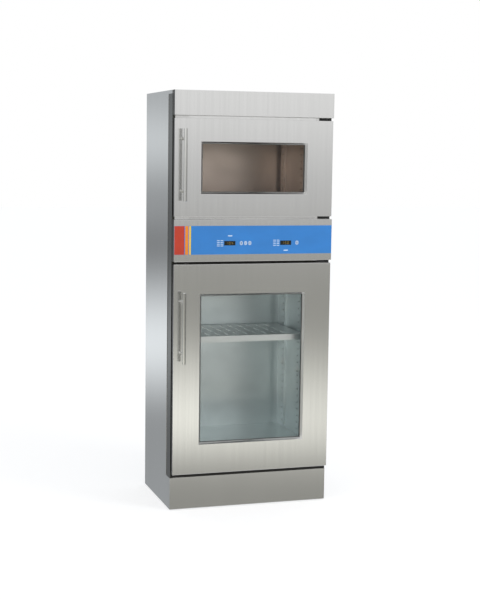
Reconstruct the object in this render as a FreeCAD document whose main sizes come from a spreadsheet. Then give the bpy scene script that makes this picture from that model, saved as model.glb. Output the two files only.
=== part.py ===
import FreeCAD, Part
import Sketcher
import os
import re

# Dual-chamber warming cabinet: a folded stainless case with a small chamber over a tall one, a
# glazed pivot-hung door on each, and a control panel between the doors. Millimetres, +Z up, the
# doors face -Y, and the origin is the centre of the footprint, on the floor.

# ---------------------------------------------------------------------------
# Driving dimensions: one spreadsheet cell each
# ---------------------------------------------------------------------------

SIZES = {
    # Case
    "case_width": 752.0,
    "case_depth": 485.0,            # face frame's front to back panel's rear
    "case_sheet": 1.5,
    "lid_lip": 16.0,
    "side_flange": 20.0,
    "toe_gap": 4.0,                 # case sheets stand this clear of the floor
    "back_rise": 30.0,
    "back_recess": 3.0,             # back panel inside the side panels' rear edges
    "frame_sheet": 2.0,
    "frame_inset": 1.5,
    "frame_return": 68.0,
    "panel_seam": 0.6,
    "kick_height": 149.0,
    "kick_return": 20.0,
    "edge_radius": 1.4,
    # Plinth frame and levelling feet
    "base_rise": 20.0,
    "base_sheet": 2.5,
    "base_flange": 35.0,
    "foot_plate": 80.0,
    "foot_inset": 52.0,
    "foot_pad_radius": 22.0,
    "foot_pad_height": 5.0,
    "foot_nut_radius": 10.0,
    "stem_radius": 5.0,
    "stem_length": 45.0,            # above the corner plate
    "slide_fit": 0.1,               # radial clearance of a stem or pin in its hole
    # Front, from the kick panel up
    "kick_gap": 22.0,
    "lower_door_height": 953.0,
    "door_gap": 13.0,
    "control_height": 187.0,
    "upper_door_height": 432.0,
    "header_height": 110.0,
    "fascia_depth": 34.0,           # doors and fascias stand this far in front of the frame
    "fascia_side_gap": 3.0,
    "door_side_gap": 3.0,           # door's right edge short of the fascias'
    # Chambers
    "chamber_side": 90.0,           # case's side to the chamber
    "chamber_rear": 52.0,           # case's back to the chamber
    "chamber_margin": 50.0,
    "lower_sill": 114.0,
    "liner_sheet": 1.5,
    "liner_flange": 20.0,
    "mat_thickness": 1.0,
    "mat_margin": 40.0,
    "insulation_wall": 50.0,
    "wool_gap": 0.5,
    # Shelf standards and clips
    "standard_width": 44.0,
    "standard_depth": 12.0,
    "standard_sheet": 1.5,
    "standard_end_gap": 15.0,
    "standard_front": 116.0,        # frame's front face to the front standards' middle
    "standard_rear": 102.0,         # chamber's back to the rear standards' middle
    "upper_standard_rear": 55.0,
    "first_slot": 20.0,
    "slot_pitch": 32.0,
    "slot_width": 16.0,
    "slot_height": 6.0,
    "clip_width": 34.0,
    "clip_sheet": 2.0,
    "clip_ledge": 12.0,
    "clip_lip": 4.0,
    "clip_drop": 8.0,               # ledge below the slot's centre
    "clip_strip": 22.0,             # strip above its ledge
    "tongue_thickness": 2.0,
    "tongue_drop": 6.0,
    "shelf_slot": 14.0,             # slots counted up from the lowest
    "spare_slot": 9.0,
    # Shelf
    "shelf_lip": 28.0,
    "shelf_sheet": 1.5,
    "shelf_setback": 40.0,
    "shelf_rear_gap": 12.0,
    "shelf_side_gap": 2.5,
    "vent_length": 72.0,
    "vent_width": 10.0,
    "vent_pitch": 46.0,
    "vent_margin": 46.0,
    # Doors
    "door_shell": 20.0,
    "door_sheet": 1.5,
    "door_edge_radius": 1.4,
    "window_side_margin": 122.0,
    "upper_window_margin": 101.0,
    "lower_window_margin": 134.0,
    "bevel_width": 8.0,
    "bevel_depth": 12.0,
    "surround_wall": 3.0,
    "glass_thickness": 4.0,
    "glass_overlap": 12.0,
    "gasket_lip": 1.0,
    "gasket_sight": 1.5,            # black lip that shows inside the bevel
    "gasket_wall": 3.0,
    "pan_depth": 10.0,
    "seal_inset": 16.0,
    "seal_width": 18.0,
    "seal_base": 5.0,
    "magnet_width": 11.0,
    "running_gap": 0.3,
    # Handles
    "handle_standoff": 45.0,
    "handle_radius": 8.0,
    "handle_length": 320.0,
    "handle_chamfer": 1.5,
    "handle_inset": 38.0,
    "post_spacing": 230.0,
    "post_radius": 5.5,
    "upper_handle_rise": 12.0,      # handle's middle above the door's middle
    "lower_handle_rise": 195.0,
    # Pivot hinges
    "hinge_inset": 14.0,
    "hinge_setback": 10.0,
    "pin_radius": 4.0,
    "pin_reach": 14.0,
    "bush_wall": 2.0,
    "bush_length": 18.0,
    "bush_flange": 2.0,
    "bush_flange_radius": 9.0,
    "leaf_thickness": 5.0,
    "leaf_width": 52.0,
    "leaf_nose": 8.0,
    "bracket_plate": 4.0,
    "bracket_height": 11.0,
    "bracket_gap": 1.0,             # door's edge to the bracket's plate
    "bracket_inset": 3.0,           # door's right edge to the bracket's
    # Control panel
    "film_margin": 31.0,            # panel's lower edge to the printed film
    "film_upper_margin": 28.0,
    "film_side_gap": 1.0,
    "film_thickness": 0.5,
    "display_rise": 81.0,           # panel's lower edge to the displays' middle
    "display_width": 53.0,
    "display_height": 20.0,
    "display_depth": 8.0,
    "display_flange": 3.0,
    "display_flange_sheet": 2.0,
    "upper_display_x": -115.0,
    "lower_display_x": 150.0,
    "key_width": 14.0,
    "key_height": 18.0,
    "key_corner": 4.0,
    "key_first": 54.0,              # display's middle to the first key
    "key_pitch": 20.0,
    "key_proud": 1.0,
    "key_travel": 0.5,
    "key_flange": 1.0,
    "key_flange_rim": 1.0,
    "board_setback": 12.0,          # fascia's front to the circuit board
    "board_thickness": 1.6,
    "board_height": 70.0,
    "board_left": 72.0,
    "board_right": 112.0,
    "pillar_radius": 4.0,
    "pillar_inset": 6.0,
    "display_body_inset": 1.0,
    "switch_size": 7.0,
    "relay_depth": 14.0,
    "relay_margin": 8.0,
    "chassis_side": 76.0,           # case's side to the chassis
    "chassis_margin": 14.5,         # control panel's edge to the chassis
    "chassis_depth": 110.0,
    "chassis_flange": 10.0,
    "rail_width": 300.0,
    "rail_height": 36.0,
    "rail_depth": 38.0,
    # Rear services
    "louvre_height": 60.0,
    "louvre_width": 6.0,
    "louvre_pitch": 14.0,
    "louvre_count": 16.0,
    "louvre_side": 96.0,            # case's side to the last slot
    "inlet_side": 126.0,            # case's side to the inlet's middle
    "inlet_width": 32.0,
    "inlet_height": 25.0,
    "inlet_depth": 30.0,
    "inlet_flange": 10.0,
    "inlet_flange_sheet": 2.0,
    "inlet_wall": 3.0,
    "inlet_blade": 2.0,
    "inlet_blade_pitch": 7.0,
    "inlet_blade_rise": 3.0,
    "inlet_recess": 6.0,            # blades end this far inside the mouth
}

# Worked-out values, each an expression of the sizes above
FORMULAS = {
    "case_right": "case_width / 2",
    "handle_reach": "handle_standoff + handle_radius",
    "front_y": "(handle_reach - fascia_depth - case_depth) / 2",
    "frame_y": "front_y + fascia_depth",
    "frame_back": "frame_y + frame_sheet",
    "back_y": "frame_y + case_depth",
    "lower_door_z0": "kick_height + kick_gap",
    "lower_door_z1": "lower_door_z0 + lower_door_height",
    "control_z0": "lower_door_z1 + door_gap",
    "control_z1": "control_z0 + control_height",
    "upper_door_z0": "control_z1 + door_gap",
    "upper_door_z1": "upper_door_z0 + upper_door_height",
    "header_z0": "upper_door_z1 + door_gap",
    "top_z": "header_z0 + header_height",
    "case_top": "top_z - lid_lip",
    "frame_right": "case_right - frame_inset",
    "rear_face": "back_y - back_recess",
    "mouth_half": "case_right - chassis_side - case_sheet",
    "bay_low": "control_z0 + chassis_margin + case_sheet",
    "bay_high": "control_z1 - chassis_margin - case_sheet",
    "fascia_right": "case_right - fascia_side_gap",
    "door_left": "-fascia_right",
    "door_right": "fascia_right - door_side_gap",
    "chamber_half": "case_right - chamber_side",
    "chamber_back": "back_y - chamber_rear",
    "lower_floor": "lower_door_z0 + lower_sill",
    "lower_roof": "lower_door_z1 - chamber_margin",
    "upper_floor": "upper_door_z0 + chamber_margin",
    "upper_roof": "upper_door_z1 - chamber_margin",
    "plinth_right": "case_right - case_sheet - running_gap",
    "plinth_front": "frame_y + case_sheet + running_gap",
    "plinth_back": "rear_face - 2 * case_sheet - running_gap",
    "plinth_top": "kick_height - case_sheet",
    "foot_x": "plinth_right - foot_inset",
    "foot_front_y": "plinth_front + foot_inset",
    "foot_rear_y": "plinth_back - foot_inset",
    "foot_plate_under": "base_rise + base_sheet",
    "standard_face": "chamber_half - standard_depth",
    "slot_base": "lower_floor + standard_end_gap + first_slot",
    "standard_run": "lower_roof - lower_floor - 2 * standard_end_gap",
    "slot_count": "floor((standard_run - 2 * first_slot) / slot_pitch) + 1",
    "upper_slot_base": "upper_floor + standard_end_gap + first_slot",
    "upper_standard_run": "upper_roof - upper_floor - 2 * standard_end_gap",
    "upper_slot_count": "floor((upper_standard_run - 2 * first_slot) / slot_pitch) + 1",
    "shelf_under": "slot_base + shelf_slot * slot_pitch - clip_drop",
    "shelf_top": "shelf_under + shelf_lip",
    "shelf_right": "standard_face - shelf_side_gap",
    "shelf_front": "frame_y + shelf_setback",
    "shelf_back": "chamber_back - shelf_rear_gap",
    "shell_back": "front_y + door_shell",
    "pan_back": "shell_back + pan_depth",
    "glass_front": "front_y + bevel_depth + gasket_lip",
    "inner_glass_back": "pan_back - door_sheet",
    "inner_glass_front": "inner_glass_back - glass_thickness",
    "handle_x": "door_left + handle_inset",
    "handle_y": "front_y - handle_standoff",
    "hinge_x": "door_right - hinge_inset",
    "hinge_y": "front_y + hinge_setback",
    "bush_bore": "pin_radius + slide_fit",
    "bush_radius": "bush_bore + bush_wall",
    "leaf_start": "bush_flange + running_gap",
    "film_front": "front_y - film_thickness",
    "display_z": "control_z0 + display_rise",
    "panel_back": "front_y + case_sheet",
    "board_front": "front_y + board_setback",
    "board_back": "board_front + board_thickness",
    "chassis_z": "(control_z0 + control_z1) / 2",
    "louvre_x": "case_right - louvre_side - (louvre_count - 1) * louvre_pitch - louvre_width",
    "inlet_x": "inlet_side - case_right",
    "key_back": "panel_back + running_gap + key_flange",
}

doc = FreeCAD.newDocument("WarmingCabinet")
sheet = doc.addObject("Spreadsheet::Sheet", "Sizes")
for row, (alias, size) in enumerate(SIZES.items(), start=1):
    sheet.set(f"A{row}", alias)
    sheet.set(f"B{row}", str(size))
    sheet.setAlias(f"B{row}", alias)
doc.recompute()

# ---------------------------------------------------------------------------
# Helpers: expressions, sketches and features
# ---------------------------------------------------------------------------

PLANES = {"XY": 1, "XZ": -1, "YZ": 1}    # sign of each plane's normal along its world axis
WORD = re.compile(r"[A-Za-z_]\w*")
pieces = []


def bound(text):
    """Write an expression of named sizes as one that refers to the spreadsheet."""
    def swap(match):
        word = match.group(0)
        if word in FORMULAS:
            return "(" + bound(FORMULAS[word]) + ")"
        return "Sizes." + word if word in SIZES else word
    return WORD.sub(swap, str(text))


def value(text):
    """The number that an expression of named sizes gives."""
    return float(sheet.evalExpression(bound(text)))


def new_body(label):
    body = doc.addObject("PartDesign::Body", label)
    body.Label = label
    pieces.append(body)
    return body


def origin_feature(body, role):
    return next(item for item in body.Origin.OriginFeatures if item.Role == role)


def add_sketch(body, plane, level, shift=("0", "0")):
    """A sketch parallel to an origin plane, at a level on its axis, its own origin shifted."""
    sketch = body.newObject("Sketcher::SketchObject", "Sketch")
    sketch.AttachmentSupport = (origin_feature(body, plane + "_Plane"), [""])
    sketch.MapMode = "FlatFace"
    sketch.setExpression("AttachmentOffset.Base.x", bound(shift[0]))
    sketch.setExpression("AttachmentOffset.Base.y", bound(shift[1]))
    sketch.setExpression("AttachmentOffset.Base.z", f"{PLANES[plane]} * ({bound(level)})")
    return sketch


def dimension(sketch, kind, target, number, text):
    """A dimension whose value follows an expression."""
    index = sketch.addConstraint(Sketcher.Constraint(kind, *target, number))
    sketch.setExpression(f"Constraints[{index}]", bound(text))


def draw_polygon(sketch, corners):
    points = [FreeCAD.Vector(value(x), value(y), 0) for x, y in corners]
    first, count = sketch.GeometryCount, len(points)
    for index in range(count):
        sketch.addGeometry(Part.LineSegment(points[index], points[(index + 1) % count]), False)
    for index in range(count):
        following = first + (index + 1) % count
        sketch.addConstraint(Sketcher.Constraint("Coincident", first + index, 2, following, 1))
    for index, (x, y) in enumerate(corners):
        corner = (-1, 1, first + index, 1)
        dimension(sketch, "DistanceX", corner, points[index].x, x)
        dimension(sketch, "DistanceY", corner, points[index].y, y)


def draw_circle(sketch, x, y, radius):
    centre = FreeCAD.Vector(value(x), value(y), 0)
    circle = Part.Circle(centre, FreeCAD.Vector(0, 0, 1), value(radius))
    index = sketch.addGeometry(circle, False)
    dimension(sketch, "Radius", (index,), value(radius), radius)
    dimension(sketch, "DistanceX", (-1, 1, index, 3), centre.x, x)
    dimension(sketch, "DistanceY", (-1, 1, index, 3), centre.y, y)


def box(left, right, low, high):
    """The corners of an upright rectangle."""
    return [(left, low), (right, low), (right, high), (left, high)]


def square(x, y, size):
    return box(f"{x} - {size} / 2", f"{x} + {size} / 2", f"{y} - {size} / 2", f"{y} + {size} / 2")


def hexagon(x, y, radius):
    """Corners of a six-sided nut or pillar."""
    return [(f"{x} + {radius} * cos({60 * turn}deg)", f"{y} + {radius} * sin({60 * turn}deg)")
            for turn in range(6)]


def cut_corners(x, y, width, height, corner):
    """An upright rectangle about a point, with its corners cut off."""
    (left, low), _, (right, high), _ = box(f"{x} - ({width}) / 2", f"{x} + ({width}) / 2",
                                           f"{y} - ({height}) / 2", f"{y} + ({height}) / 2")
    return [(f"{left} + {corner}", low), (f"{right} - {corner}", low),
            (right, f"{low} + {corner}"), (right, f"{high} - {corner}"),
            (f"{right} - {corner}", high), (f"{left} + {corner}", high),
            (left, f"{high} - {corner}"), (left, f"{low} + {corner}")]


def grown(rectangle, margin):
    """A rectangle's corners moved outwards by a margin, or inwards by a negative one."""
    signs = ((-1, -1), (1, -1), (1, 1), (-1, 1))
    return [(f"({x}) + {i} * ({margin})", f"({y}) + {j} * ({margin})")
            for (x, y), (i, j) in zip(rectangle, signs)]


def disc(x, y, radius):
    return ("disc", x, y, radius)


def draw(sketch, loops):
    for loop in loops:
        if loop[0] == "disc":
            draw_circle(sketch, *loop[1:])
        else:
            draw_polygon(sketch, loop)


def pad(body, plane, low, high, *loops):
    """Material between two levels on a plane's axis, inside the loops."""
    sketch = add_sketch(body, plane, low)
    draw(sketch, loops)
    feature = body.newObject("PartDesign::Pad", "Pad")
    feature.Profile = sketch
    feature.setExpression("Length", bound(f"({high}) - ({low})"))
    feature.Reversed = PLANES[plane] < 0
    body.Tip = feature
    return feature


def pocket(body, plane, low, high, *loops):
    """Material taken away between two levels on a plane's axis, inside the loops."""
    sketch = add_sketch(body, plane, low)
    draw(sketch, loops)
    feature = body.newObject("PartDesign::Pocket", "Pocket")
    feature.Profile = sketch
    feature.setExpression("Length", bound(f"({high}) - ({low})"))
    feature.Reversed = PLANES[plane] > 0
    body.Tip = feature
    return feature


def spin(body, plane, level, shift, axis, outline):
    """A turned form: an outline revolved about an axis of its sketch."""
    sketch = add_sketch(body, plane, level, shift)
    draw_polygon(sketch, outline)
    feature = body.newObject("PartDesign::Revolution", "Revolution")
    feature.Profile = sketch
    feature.ReferenceAxis = (sketch, [axis])
    feature.Angle = 360
    body.Tip = feature
    return feature


def repeat(body, feature, role, pitch, count):
    """A row of copies of one feature along an axis of the body."""
    pattern = body.newObject("PartDesign::LinearPattern", "LinearPattern")
    pattern.Originals = [feature]
    pattern.Direction = (origin_feature(body, role), [""])
    pattern.setExpression("Length", bound(f"(({count}) - 1) * ({pitch})"))
    pattern.setExpression("Occurrences", bound(count))
    body.Tip = pattern
    return pattern


def funnel_cut(body, outer, outer_level, inner, inner_level):
    """A tapered hole from one outline to another on XZ planes."""
    mouth = add_sketch(body, "XZ", outer_level)
    draw_polygon(mouth, outer)
    throat = add_sketch(body, "XZ", inner_level)
    draw_polygon(throat, inner)
    cut = body.newObject("PartDesign::SubtractiveLoft", "SubtractiveLoft")
    cut.Profile = mouth
    cut.Sections = [throat]
    cut.Ruled = True
    body.Tip = cut
    return cut


def trim_edges(body, kind, amount, chosen):
    """Fillet or chamfer the edges of the body's last feature that a test picks."""
    doc.recompute()
    base = body.Tip
    names = [f"Edge{index}" for index, edge in enumerate(base.Shape.Edges, start=1) if chosen(edge)]
    feature = body.newObject("PartDesign::" + kind, kind)
    feature.Base = (base, names)
    feature.setExpression("Radius" if kind == "Fillet" else "Size", bound(amount))
    body.Tip = feature
    return feature


def lies_on(edge, axis, text):
    """True if every end of an edge is at a level on an axis."""
    level = value(text)
    return all(abs(getattr(vertex.Point, axis) - level) < 0.01 for vertex in edge.Vertexes)


def lies_round(edge, level, outline):
    """True if an edge follows the border of an upright rectangle at a level on Y."""
    columns, rows = ({value(corner[axis]) for corner in outline} for axis in (0, 1))
    return lies_on(edge, "y", level) and all(
        min(abs(end.X - x) for x in columns) < 0.01 or min(abs(end.Z - z) for z in rows) < 0.01
        for end in edge.Vertexes)


def reach(edge, sign, start, end):
    """The low and high levels of a span measured away from an edge, upwards or downwards."""
    if sign > 0:
        return f"({edge}) + ({start})", f"({edge}) + ({end})"
    return f"({edge}) - ({end})", f"({edge}) - ({start})"


SIDES = (("left", -1), ("right", 1))


def side_x(sign, near, far):
    """A span of X on the left or the right, given as distances from the middle."""
    return (near, far) if sign > 0 else (f"-({far})", f"-({near})")


# ---------------------------------------------------------------------------
# Plinth, feet and case
# ---------------------------------------------------------------------------

PLINTH = box("-plinth_right", "plinth_right", "plinth_front", "plinth_back")


def make_base_frame():
    body = new_body("base_frame")
    pad(body, "XY", "base_rise", "plinth_top", PLINTH, grown(PLINTH, "-base_flange"))
    pocket(body, "XY", "foot_plate_under", "plinth_top - base_sheet", grown(PLINTH, "-base_sheet"))
    for _, sign in SIDES:
        for start, end in (("plinth_front", "plinth_front + foot_plate"),
                           ("plinth_back - foot_plate", "plinth_back")):
            left, right = side_x(sign, "plinth_right - foot_plate", "plinth_right")
            plate = box(left, right, start, end)
            pad(body, "XY", "foot_plate_under", "foot_plate_under + 2 * base_sheet", plate)
    holes = [disc(f"{sign} * (foot_x)", y, "stem_radius + slide_fit")
             for _, sign in SIDES for y in ("foot_front_y", "foot_rear_y")]
    pocket(body, "XY", "base_rise", "foot_plate_under + 3 * base_sheet", *holes)


def make_foot(label, sign, foot_y):
    """Levelling foot: hexagonal pad and neck, and a threaded stem."""
    body = new_body(label)
    foot_x = f"{sign} * (foot_x)"
    pad(body, "XY", "0", "foot_pad_height", hexagon(foot_x, foot_y, "foot_pad_radius"))
    pad(body, "XY", "foot_pad_height", "foot_plate_under - running_gap",
        hexagon(foot_x, foot_y, "foot_nut_radius"))
    pad(body, "XY", "foot_pad_height", "foot_plate_under + 2 * base_sheet + stem_length",
        disc(foot_x, foot_y, "stem_radius"))


def make_base_deck():
    body = new_body("base_deck")
    pad(body, "XY", "plinth_top", "kick_height", PLINTH)


def make_kick_panel():
    """Kick sheet folded back at both ends, seen from above as a U."""
    body = new_body("kick_panel")
    right, back, inner = "case_right", "frame_y + kick_return", "case_right - case_sheet"
    outline = [(f"-{right}", "frame_y"), (right, "frame_y"), (right, back), (inner, back),
               (inner, "frame_y + case_sheet"), (f"-({inner})", "frame_y + case_sheet"),
               (f"-({inner})", back), (f"-{right}", back)]
    pad(body, "XY", "toe_gap", "kick_height", outline)
    trim_edges(body, "Fillet", "edge_radius", lambda edge: lies_on(edge, "y", "frame_y")
               and (lies_on(edge, "x", right) or lies_on(edge, "x", f"-{right}")))


def make_side_panel(label, sign):
    """Side sheet with a step over the kick panel's return, and flanges folded inwards."""
    body = new_body(label)
    step = "frame_y + frame_return + panel_seam"
    toe = "frame_y + kick_return + panel_seam"
    back = "rear_face - case_sheet"
    outline = [(toe, "toe_gap"), ("back_y", "toe_gap"), ("back_y", "case_top"), (step, "case_top"),
               (step, "kick_height - panel_seam"), (toe, "kick_height - panel_seam")]
    pad(body, "YZ", *side_x(sign, "case_right - case_sheet", "case_right"), outline)
    flange = side_x(sign, "case_right - case_sheet - side_flange", "case_right - case_sheet")
    pad(body, "XZ", f"{back} - case_sheet", back, box(*flange, "toe_gap", "case_top"))
    pad(body, "XZ", step, f"{step} + case_sheet", box(*flange, "kick_height + side_flange", "case_top"))
    pad(body, "XY", "case_top - case_sheet", "case_top", box(*flange, step, back))


def make_back_panel():
    body = new_body("back_panel")
    half = "case_right - case_sheet - panel_seam"
    pad(body, "XZ", "rear_face - case_sheet", "rear_face",
        box(f"-({half})", half, "back_rise", "case_top"))
    inlet = inlet_outline("running_gap")
    pocket(body, "XZ", "rear_face - 2 * case_sheet", "rear_face + case_sheet", inlet)
    louvre = box("louvre_x", "louvre_x + louvre_width",
                 "chassis_z - louvre_height / 2", "chassis_z + louvre_height / 2")
    cut = pocket(body, "XZ", "rear_face - 2 * case_sheet", "rear_face + case_sheet", louvre)
    repeat(body, cut, "X_Axis", "louvre_pitch", "louvre_count")


def make_top_cover():
    """Lid: a shallow pan turned upside down."""
    body = new_body("top_cover")
    plan = box("-case_right", "case_right", "frame_y", "back_y")
    pad(body, "XY", "case_top", "top_z", plan)
    pocket(body, "XY", "case_top", "top_z - case_sheet", grown(plan, "-case_sheet"))
    trim_edges(body, "Fillet", "edge_radius", lambda edge: lies_on(edge, "z", "top_z"))


def make_stile(label, sign):
    """Upright of the face frame: an angle folded back along the cabinet's side."""
    body = new_body(label)
    inner, outer = f"{sign} * (mouth_half)", f"{sign} * (frame_right)"
    web, back = f"{sign} * (frame_right - frame_sheet)", "frame_y + frame_return"
    outline = [(inner, "frame_y"), (outer, "frame_y"), (outer, back), (web, back),
               (web, "frame_back"), (inner, "frame_back")]
    pad(body, "XY", "kick_height", "case_top", outline)
    trim_edges(body, "Fillet", "edge_radius",
               lambda edge: lies_on(edge, "y", "frame_y") and lies_on(edge, "x", outer))


def make_frame_rails():
    """Four rails across the face frame, under, between and over the two mouths and the control bay."""
    body = new_body("frame_rails")
    for low, high in (("kick_height", "lower_floor"), ("lower_roof", "bay_low"),
                      ("bay_high", "upper_floor"), ("upper_roof", "case_top")):
        pad(body, "XZ", "frame_y", "frame_back", box("-mouth_half", "mouth_half", low, high))


def make_fascia(label, low, high):
    """Fascia box, open at the back, that stands in front of the face frame."""
    body = new_body(label)
    outline = box("-fascia_right", "fascia_right", low, high)
    pad(body, "XZ", "front_y", "frame_y", outline)
    pocket(body, "XZ", "panel_back", "frame_y", grown(outline, "-case_sheet"))
    trim_edges(body, "Fillet", "edge_radius", lambda edge: lies_on(edge, "y", "front_y"))
    return body


# ---------------------------------------------------------------------------
# Control panel, film, displays, keys and boards
# ---------------------------------------------------------------------------

CONTROLS = {
    "upper": ("upper_display_x", ("menu", "minus", "plus")),
    "lower": ("lower_display_x", ("menu",)),
}


def key_x(chamber, order):
    return f"{CONTROLS[chamber][0]} + key_first + {order} * key_pitch"


def key_outline(chamber, order, margin):
    return cut_corners(key_x(chamber, order), "display_z", f"key_width + 2 * ({margin})",
                       f"key_height + 2 * ({margin})", "key_corner")


def display_outline(chamber, margin):
    centre = CONTROLS[chamber][0]
    plain = box(f"{centre} - display_width / 2", f"{centre} + display_width / 2",
                "display_z - display_height / 2", "display_z + display_height / 2")
    return grown(plain, margin)


def panel_cutouts():
    """The display windows and key holes that the film and the panel share."""
    loops = []
    for chamber, (_, keys) in CONTROLS.items():
        loops.append(display_outline(chamber, "0"))
        for order in range(len(keys)):
            loops.append(key_outline(chamber, order, "running_gap"))
    return loops


def make_control_panel():
    body = make_fascia("control_panel", "control_z0", "control_z1")
    pocket(body, "XZ", "front_y - 1", "panel_back + 1", *panel_cutouts())


def make_control_overlay():
    body = new_body("control_overlay")
    outline = box("-fascia_right + film_side_gap", "fascia_right - film_side_gap",
                  "control_z0 + film_margin", "control_z1 - film_upper_margin")
    pad(body, "XZ", "film_front", "front_y", outline, *panel_cutouts())


def make_display(chamber):
    """Display window: a lens flush with the film, with a flange behind the panel."""
    body = new_body(chamber + "_display")
    pad(body, "XZ", "film_front", "film_front + display_depth", display_outline(chamber, "-slide_fit"))
    pad(body, "XZ", "panel_back", "panel_back + display_flange_sheet",
        display_outline(chamber, "display_flange"))


def make_key(chamber, order, name):
    """Key with cut corners, kept by a flange behind the panel."""
    body = new_body(f"{chamber}_{name}_key")
    pad(body, "XZ", "film_front - key_proud", "key_back", key_outline(chamber, order, "0"))
    pad(body, "XZ", "panel_back + running_gap", "key_back",
        key_outline(chamber, order, "key_flange_rim"))


def make_controller(chamber):
    """Circuit board on four pillars, with the display's body, key switches and a relay."""
    body = new_body(chamber + "_controller")
    centre, keys = CONTROLS[chamber]
    left, right = f"{centre} - board_left", f"{centre} + board_right"
    low, high = "display_z - board_height / 2", "display_z + board_height / 2"
    pad(body, "XZ", "board_front", "board_back", box(left, right, low, high))
    pillars = [hexagon(x, z, "pillar_radius")
               for x in (f"{left} + pillar_inset", f"{right} - pillar_inset")
               for z in (f"{low} + pillar_inset", f"{high} - pillar_inset")]
    pad(body, "XZ", "panel_back", "board_front", *pillars)
    pad(body, "XZ", "film_front + display_depth", "board_front",
        display_outline(chamber, "-display_body_inset"))
    switches = [square(key_x(chamber, order), "display_z", "switch_size")
                for order in range(len(keys))]
    pad(body, "XZ", "key_back + key_travel + running_gap", "board_front", *switches)
    pad(body, "XZ", "board_back", "board_back + relay_depth",
        box(f"{centre} - display_width / 2", f"{centre} + display_width / 2",
            f"{low} + relay_margin", f"{high} - relay_margin"))


def make_control_chassis():
    """Sheet folded to a trough behind the face frame, with two flanges and a terminal rail."""
    body = new_body("control_chassis")
    front, back = "frame_back", "frame_back + chassis_depth"
    low, high = "bay_low - case_sheet", "bay_high + case_sheet"
    outline = [(front, f"{low} - chassis_flange"), (f"{front} + case_sheet", f"{low} - chassis_flange"),
               (f"{front} + case_sheet", low), (back, low), (back, high),
               (f"{front} + case_sheet", high), (f"{front} + case_sheet", f"{high} + chassis_flange"),
               (front, f"{high} + chassis_flange"), (front, "bay_high"),
               (f"{back} - case_sheet", "bay_high"), (f"{back} - case_sheet", "bay_low"),
               (front, "bay_low")]
    pad(body, "YZ", "-mouth_half", "mouth_half", outline)
    rail = box("-rail_width / 2", "rail_width / 2",
               "chassis_z - rail_height / 2", "chassis_z + rail_height / 2")
    pad(body, "XZ", f"{back} - case_sheet - rail_depth", f"{back} - case_sheet", rail)


def make_chassis_ends():
    """Two plates that close the trough's ends."""
    body = new_body("chassis_ends")
    for _, sign in SIDES:
        plate = box(*side_x(sign, "mouth_half", "mouth_half + case_sheet"),
                    "bay_low - case_sheet", "bay_high + case_sheet")
        pad(body, "XZ", "frame_back", "frame_back + chassis_depth", plate)


# ---------------------------------------------------------------------------
# Chambers: liners, heating mats, insulation
# ---------------------------------------------------------------------------

CHAMBERS = {"upper": ("upper_floor", "upper_roof"), "lower": ("lower_floor", "lower_roof")}


def make_liner(chamber):
    """Chamber liner: a five-sided box with a flange that seats behind the face frame."""
    body = new_body(chamber + "_liner")
    mouth = box("-chamber_half", "chamber_half", *CHAMBERS[chamber])
    pad(body, "XZ", "frame_back", "chamber_back + liner_sheet", grown(mouth, "liner_sheet"))
    pad(body, "XZ", "frame_back", "frame_back + liner_sheet", grown(mouth, "liner_flange"))
    pocket(body, "XZ", "frame_back", "chamber_back", mouth)


def make_heater_mat(chamber):
    """Foil heating mat round the liner's floor and sides."""
    body = new_body(chamber + "_heater_mat")
    floor, roof = CHAMBERS[chamber]
    inner, outer = "chamber_half + liner_sheet", "chamber_half + liner_sheet + mat_thickness"
    under = f"{floor} - liner_sheet"
    top = f"{roof} - mat_margin"
    outline = [(f"-({outer})", top), (f"-({outer})", f"{under} - mat_thickness"),
               (outer, f"{under} - mat_thickness"), (outer, top), (inner, top), (inner, under),
               (f"-({inner})", under), (f"-({inner})", top)]
    pad(body, "XZ", "frame_y + mat_margin", "chamber_back - mat_margin", outline)


def make_insulation(chamber):
    """Wool block round the liner, open at the mouth."""
    body = new_body(chamber + "_insulation")
    floor, roof = CHAMBERS[chamber]
    half = "case_right - case_sheet - side_flange - wool_gap"
    low = "kick_height + wool_gap" if chamber == "lower" else f"{floor} - liner_sheet - insulation_wall"
    high = f"{roof} + liner_sheet + insulation_wall"
    front = "frame_back + liner_sheet + wool_gap"
    pad(body, "XZ", front, "rear_face - 2 * case_sheet - wool_gap", box(f"-({half})", half, low, high))
    room = box("-chamber_half", "chamber_half", floor, roof)
    pocket(body, "XZ", front, "chamber_back + liner_sheet + wool_gap",
           grown(room, "liner_sheet + mat_thickness + wool_gap"))


# ---------------------------------------------------------------------------
# Shelf standards, clips and shelf
# ---------------------------------------------------------------------------

FRONT_STANDARD = "frame_y + standard_front"
REAR_STANDARD = "chamber_back - standard_rear"


def channel(sign, middle):
    """Section of a shelf standard on a side wall: a channel with its web towards the chamber."""
    x = [f"{sign} * ({text})" for text in ("chamber_half", "standard_face",
                                           "standard_face + standard_sheet")]
    y0, y1 = f"{middle} - standard_width / 2", f"{middle} + standard_width / 2"
    outline = [(x[0], y0), (x[1], y0), (x[1], y1), (x[0], y1), (x[0], f"{y1} - standard_sheet"),
               (x[2], f"{y1} - standard_sheet"), (x[2], f"{y0} + standard_sheet"),
               (x[0], f"{y0} + standard_sheet")]
    return outline


def make_standards(label, middles, low, high, base, count):
    """Four slotted channels on the side walls of one chamber."""
    body = new_body(label)
    for _, sign in SIDES:
        for middle in middles:
            pad(body, "XY", f"{low} + standard_end_gap", f"{high} - standard_end_gap",
                channel(sign, middle))
    for _, sign in SIDES:
        cut_slots(body, sign, middles, base, count)


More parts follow.
